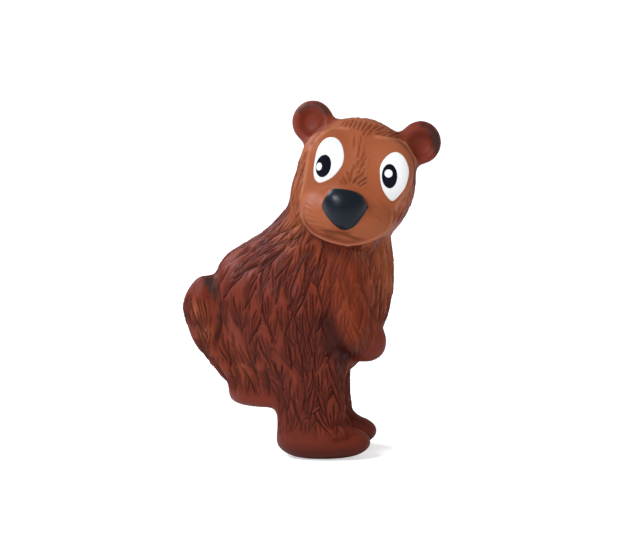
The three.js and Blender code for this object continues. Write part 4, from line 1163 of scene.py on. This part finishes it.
# Nose
# The nose is part of the moulding. Its front has a thick coat of glossy blue-black lacquer.
NOSE_OUTLINE = [
    (322, 202.9), (329.6, 190.8), (337.7, 188.1), (356.4, 192), (368, 202.9), (365.4, 210.9),
    (354.6, 225.2), (343.9, 229.6), (335, 225.2), (324.3, 212.7),
]
lacquer_material, tree, surface = new_material("blue_black_lacquer")
surface_shader(tree, surface, {
    "Base Color": (*linear("#07121C"), 1),
    "Roughness": 0.34,
    "IOR": 1.5,
    "Specular IOR Level": 0.28,
})
LACQUER_LIFT = 0.35
NOSE_DEPTH = 9           # how far back from its middle the lacquer reaches
nose = coat(
    "nose_lacquer_coat", NOSE_OUTLINE, LACQUER_LIFT, COAT_SINK, lacquer_material, NOSE_DEPTH
)
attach(nose, "toy")
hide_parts("nose_lacquer")

# Fibre filling
# Loose white polyester fibre, pushed in through the bore in handfuls until the skin stands: a
# lumpy body a little smaller than the cavity, and over it curled ends that stay near the skin.
FIBRE_CELL = 1.6
FIBRE_SHRINK = 1.3
LUMP_DEPTH = 0.9
LUMP_WAVES = (0.25, 0.3, 0.35, 0.5, 0.6, 0.75)
CURL_COUNT = 2600
CURL_LENGTH = 7
CURL_THICKNESS = 0.012   # in shares of the length
CURL_SEED = 3
fibre_material, tree, surface = new_material("loose_polyester_fibre")
tangle = object_noise(tree, 900, 5)
surface_shader(tree, surface, {
    "Base Color": mixed(tree, tangle, "#E6E2D9", "#F5F3EE"),
    "Roughness": 0.85,
    "Normal": bumps(tree, tangle, 0.5, 0.0006),
})

fibre_form = placed("fibre_form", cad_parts["fibre_filling"].data.copy())
cells = fibre_form.modifiers.new("cells", "REMESH")
cells.mode = "VOXEL"
cells.voxel_size = FIBRE_CELL * MM
fibre_mesh = applied(fibre_form)
bpy.data.objects.remove(fibre_form)
fibre_points = points_of(fibre_mesh)
lumps = sum(
    np.sin(fibre_points @ (random.normal(size=3) * wave) + random.uniform(0, math.tau))
    for wave in LUMP_WAVES
) / len(LUMP_WAVES)
depth = FIBRE_SHRINK + LUMP_DEPTH * (1 - lumps)
move_points(fibre_mesh, fibre_points - normals_of(fibre_mesh) * depth[:, None])
fibre = placed("polyester_fibre", fibre_mesh)
fibre_mesh.materials.clear()
fibre_mesh.materials.append(fibre_material)

curls = bpy.data.node_groups.new("curls", "GeometryNodeTree")
curls.interface.new_socket("Geometry", in_out="INPUT", socket_type="NodeSocketGeometry")
for name in ("Count", "Length", "Seed"):
    kind = "NodeSocketFloat" if name == "Length" else "NodeSocketInt"
    curls.interface.new_socket(name, in_out="INPUT", socket_type=kind)
curls.interface.new_socket("Geometry", in_out="OUTPUT", socket_type="NodeSocketGeometry")
given = add_node(curls, "NodeGroupInput").outputs
spots = add_node(curls, "GeometryNodeDistributePointsOnFaces", {
    "Mesh": given["Geometry"],
    "Density": 1.0,
    "Seed": given["Seed"],
})
area = add_node(curls, "GeometryNodeAttributeStatistic", {
    "Geometry": given["Geometry"],
    "Attribute": add_node(curls, "GeometryNodeInputMeshFaceArea").outputs[0],
}, domain="FACE")
density = add_node(curls, "ShaderNodeMath", {
    0: given["Count"],
    1: area.outputs["Sum"],
}, operation="DIVIDE")
curls.links.new(density.outputs[0], spots.inputs["Density"])
strand = add_node(curls, "GeometryNodeCurvePrimitiveBezierSegment", {
    "Resolution": 10,
    "Start": (-0.5, 0, 0),
    "Start Handle": (-0.35, 0.45, 0.05),
    "End Handle": (0.3, -0.5, 0.05),
    "End": (0.5, 0.1, 0),
})
section = add_node(curls, "GeometryNodeCurvePrimitiveCircle", {
    "Resolution": 3,
    "Radius": CURL_THICKNESS,
})
tube = add_node(curls, "GeometryNodeCurveToMesh", {
    "Curve": strand.outputs["Curve"],
    "Profile Curve": section.outputs["Curve"],
    "Fill Caps": True,
})
spin = add_node(curls, "FunctionNodeRandomValue", {
    "Min": (0, 0, 0),
    "Max": (0, 0, math.tau),
    "Seed": given["Seed"],
}, data_type="FLOAT_VECTOR")
turned = add_node(curls, "FunctionNodeRotateEuler", {
    "Rotation": spots.outputs["Rotation"],
    "Rotate By": spin.outputs["Value"],
}, space="LOCAL")
copies = add_node(curls, "GeometryNodeInstanceOnPoints", {
    "Points": spots.outputs["Points"],
    "Instance": tube.outputs["Mesh"],
    "Rotation": turned.outputs["Rotation"],
    "Scale": given["Length"],
})
real = add_node(curls, "GeometryNodeRealizeInstances", {"Geometry": copies.outputs["Instances"]})
white = add_node(curls, "GeometryNodeSetMaterial", {
    "Geometry": real.outputs["Geometry"],
    "Material": fibre_material,
})
curls_out = add_node(curls, "NodeGroupOutput")
curls.links.new(white.outputs["Geometry"], curls_out.inputs[0])

loose_ends = placed("loose_fibre_ends", fibre_mesh.copy())
growing = loose_ends.modifiers.new("curls", "NODES")
growing.node_group = curls
settings = {"Count": CURL_COUNT, "Length": CURL_LENGTH * MM, "Seed": CURL_SEED}
for socket in curls.interface.items_tree:
    if socket.in_out == "INPUT" and socket.name in settings:
        growing[socket.identifier] = settings[socket.name]
grown = applied(loose_ends)
loose_ends.modifiers.clear()
loose_ends.data = grown
for thing in (fibre, loose_ends):
    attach(thing, "toy")
    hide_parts("fibre_filling")

# Squeaker
# Stock parts, kept as the solids: a cup with a flange and a snap lip, a lid with air holes and a
# stem in two halves, all moulded in natural white polyethylene with a faint satin grain.
polyethylene, tree, surface = new_material("moulded_polyethylene")
surface_shader(tree, surface, {
    "Base Color": (*linear("#E9E6DD"), 1),
    "Roughness": 0.45,
    "Subsurface Weight": 0.15,
    "Subsurface Scale": 0.002,
    "Normal": bumps(tree, object_noise(tree, 2500, 2), 0.15, 0.00005),
})
for name in ("squeaker_plug", "squeaker_lid", "reed_seat", "reed_clamp"):
    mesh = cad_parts[name].data
    mesh.materials.clear()
    mesh.materials.append(polyethylene)

# Reed
# A strip cut from thin rolled brass, bright, with fine lines along it from the rolls.
rolled_brass, tree, surface = new_material("rolled_brass_strip")
place = add_node(tree, "ShaderNodeTexCoord").outputs["Object"]
stretched = add_node(tree, "ShaderNodeMapping", {"Vector": place, "Scale": (9000, 9000, 200)})
rolling = add_node(tree, "ShaderNodeTexNoise", {
    "Vector": stretched.outputs[0],
    "Scale": 1,
    "Detail": 2,
})
shine = add_node(tree, "ShaderNodeMapRange", {
    "Value": rolling.outputs["Fac"],
    "To Min": 0.22,
    "To Max": 0.38,
})
surface_shader(tree, surface, {
    "Base Color": (*linear("#C9A44E"), 1),
    "Metallic": 1,
    "Roughness": shine.outputs[0],
})
reed_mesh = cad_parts["reed_tongue"].data
reed_mesh.materials.clear()
reed_mesh.materials.append(rolled_brass)
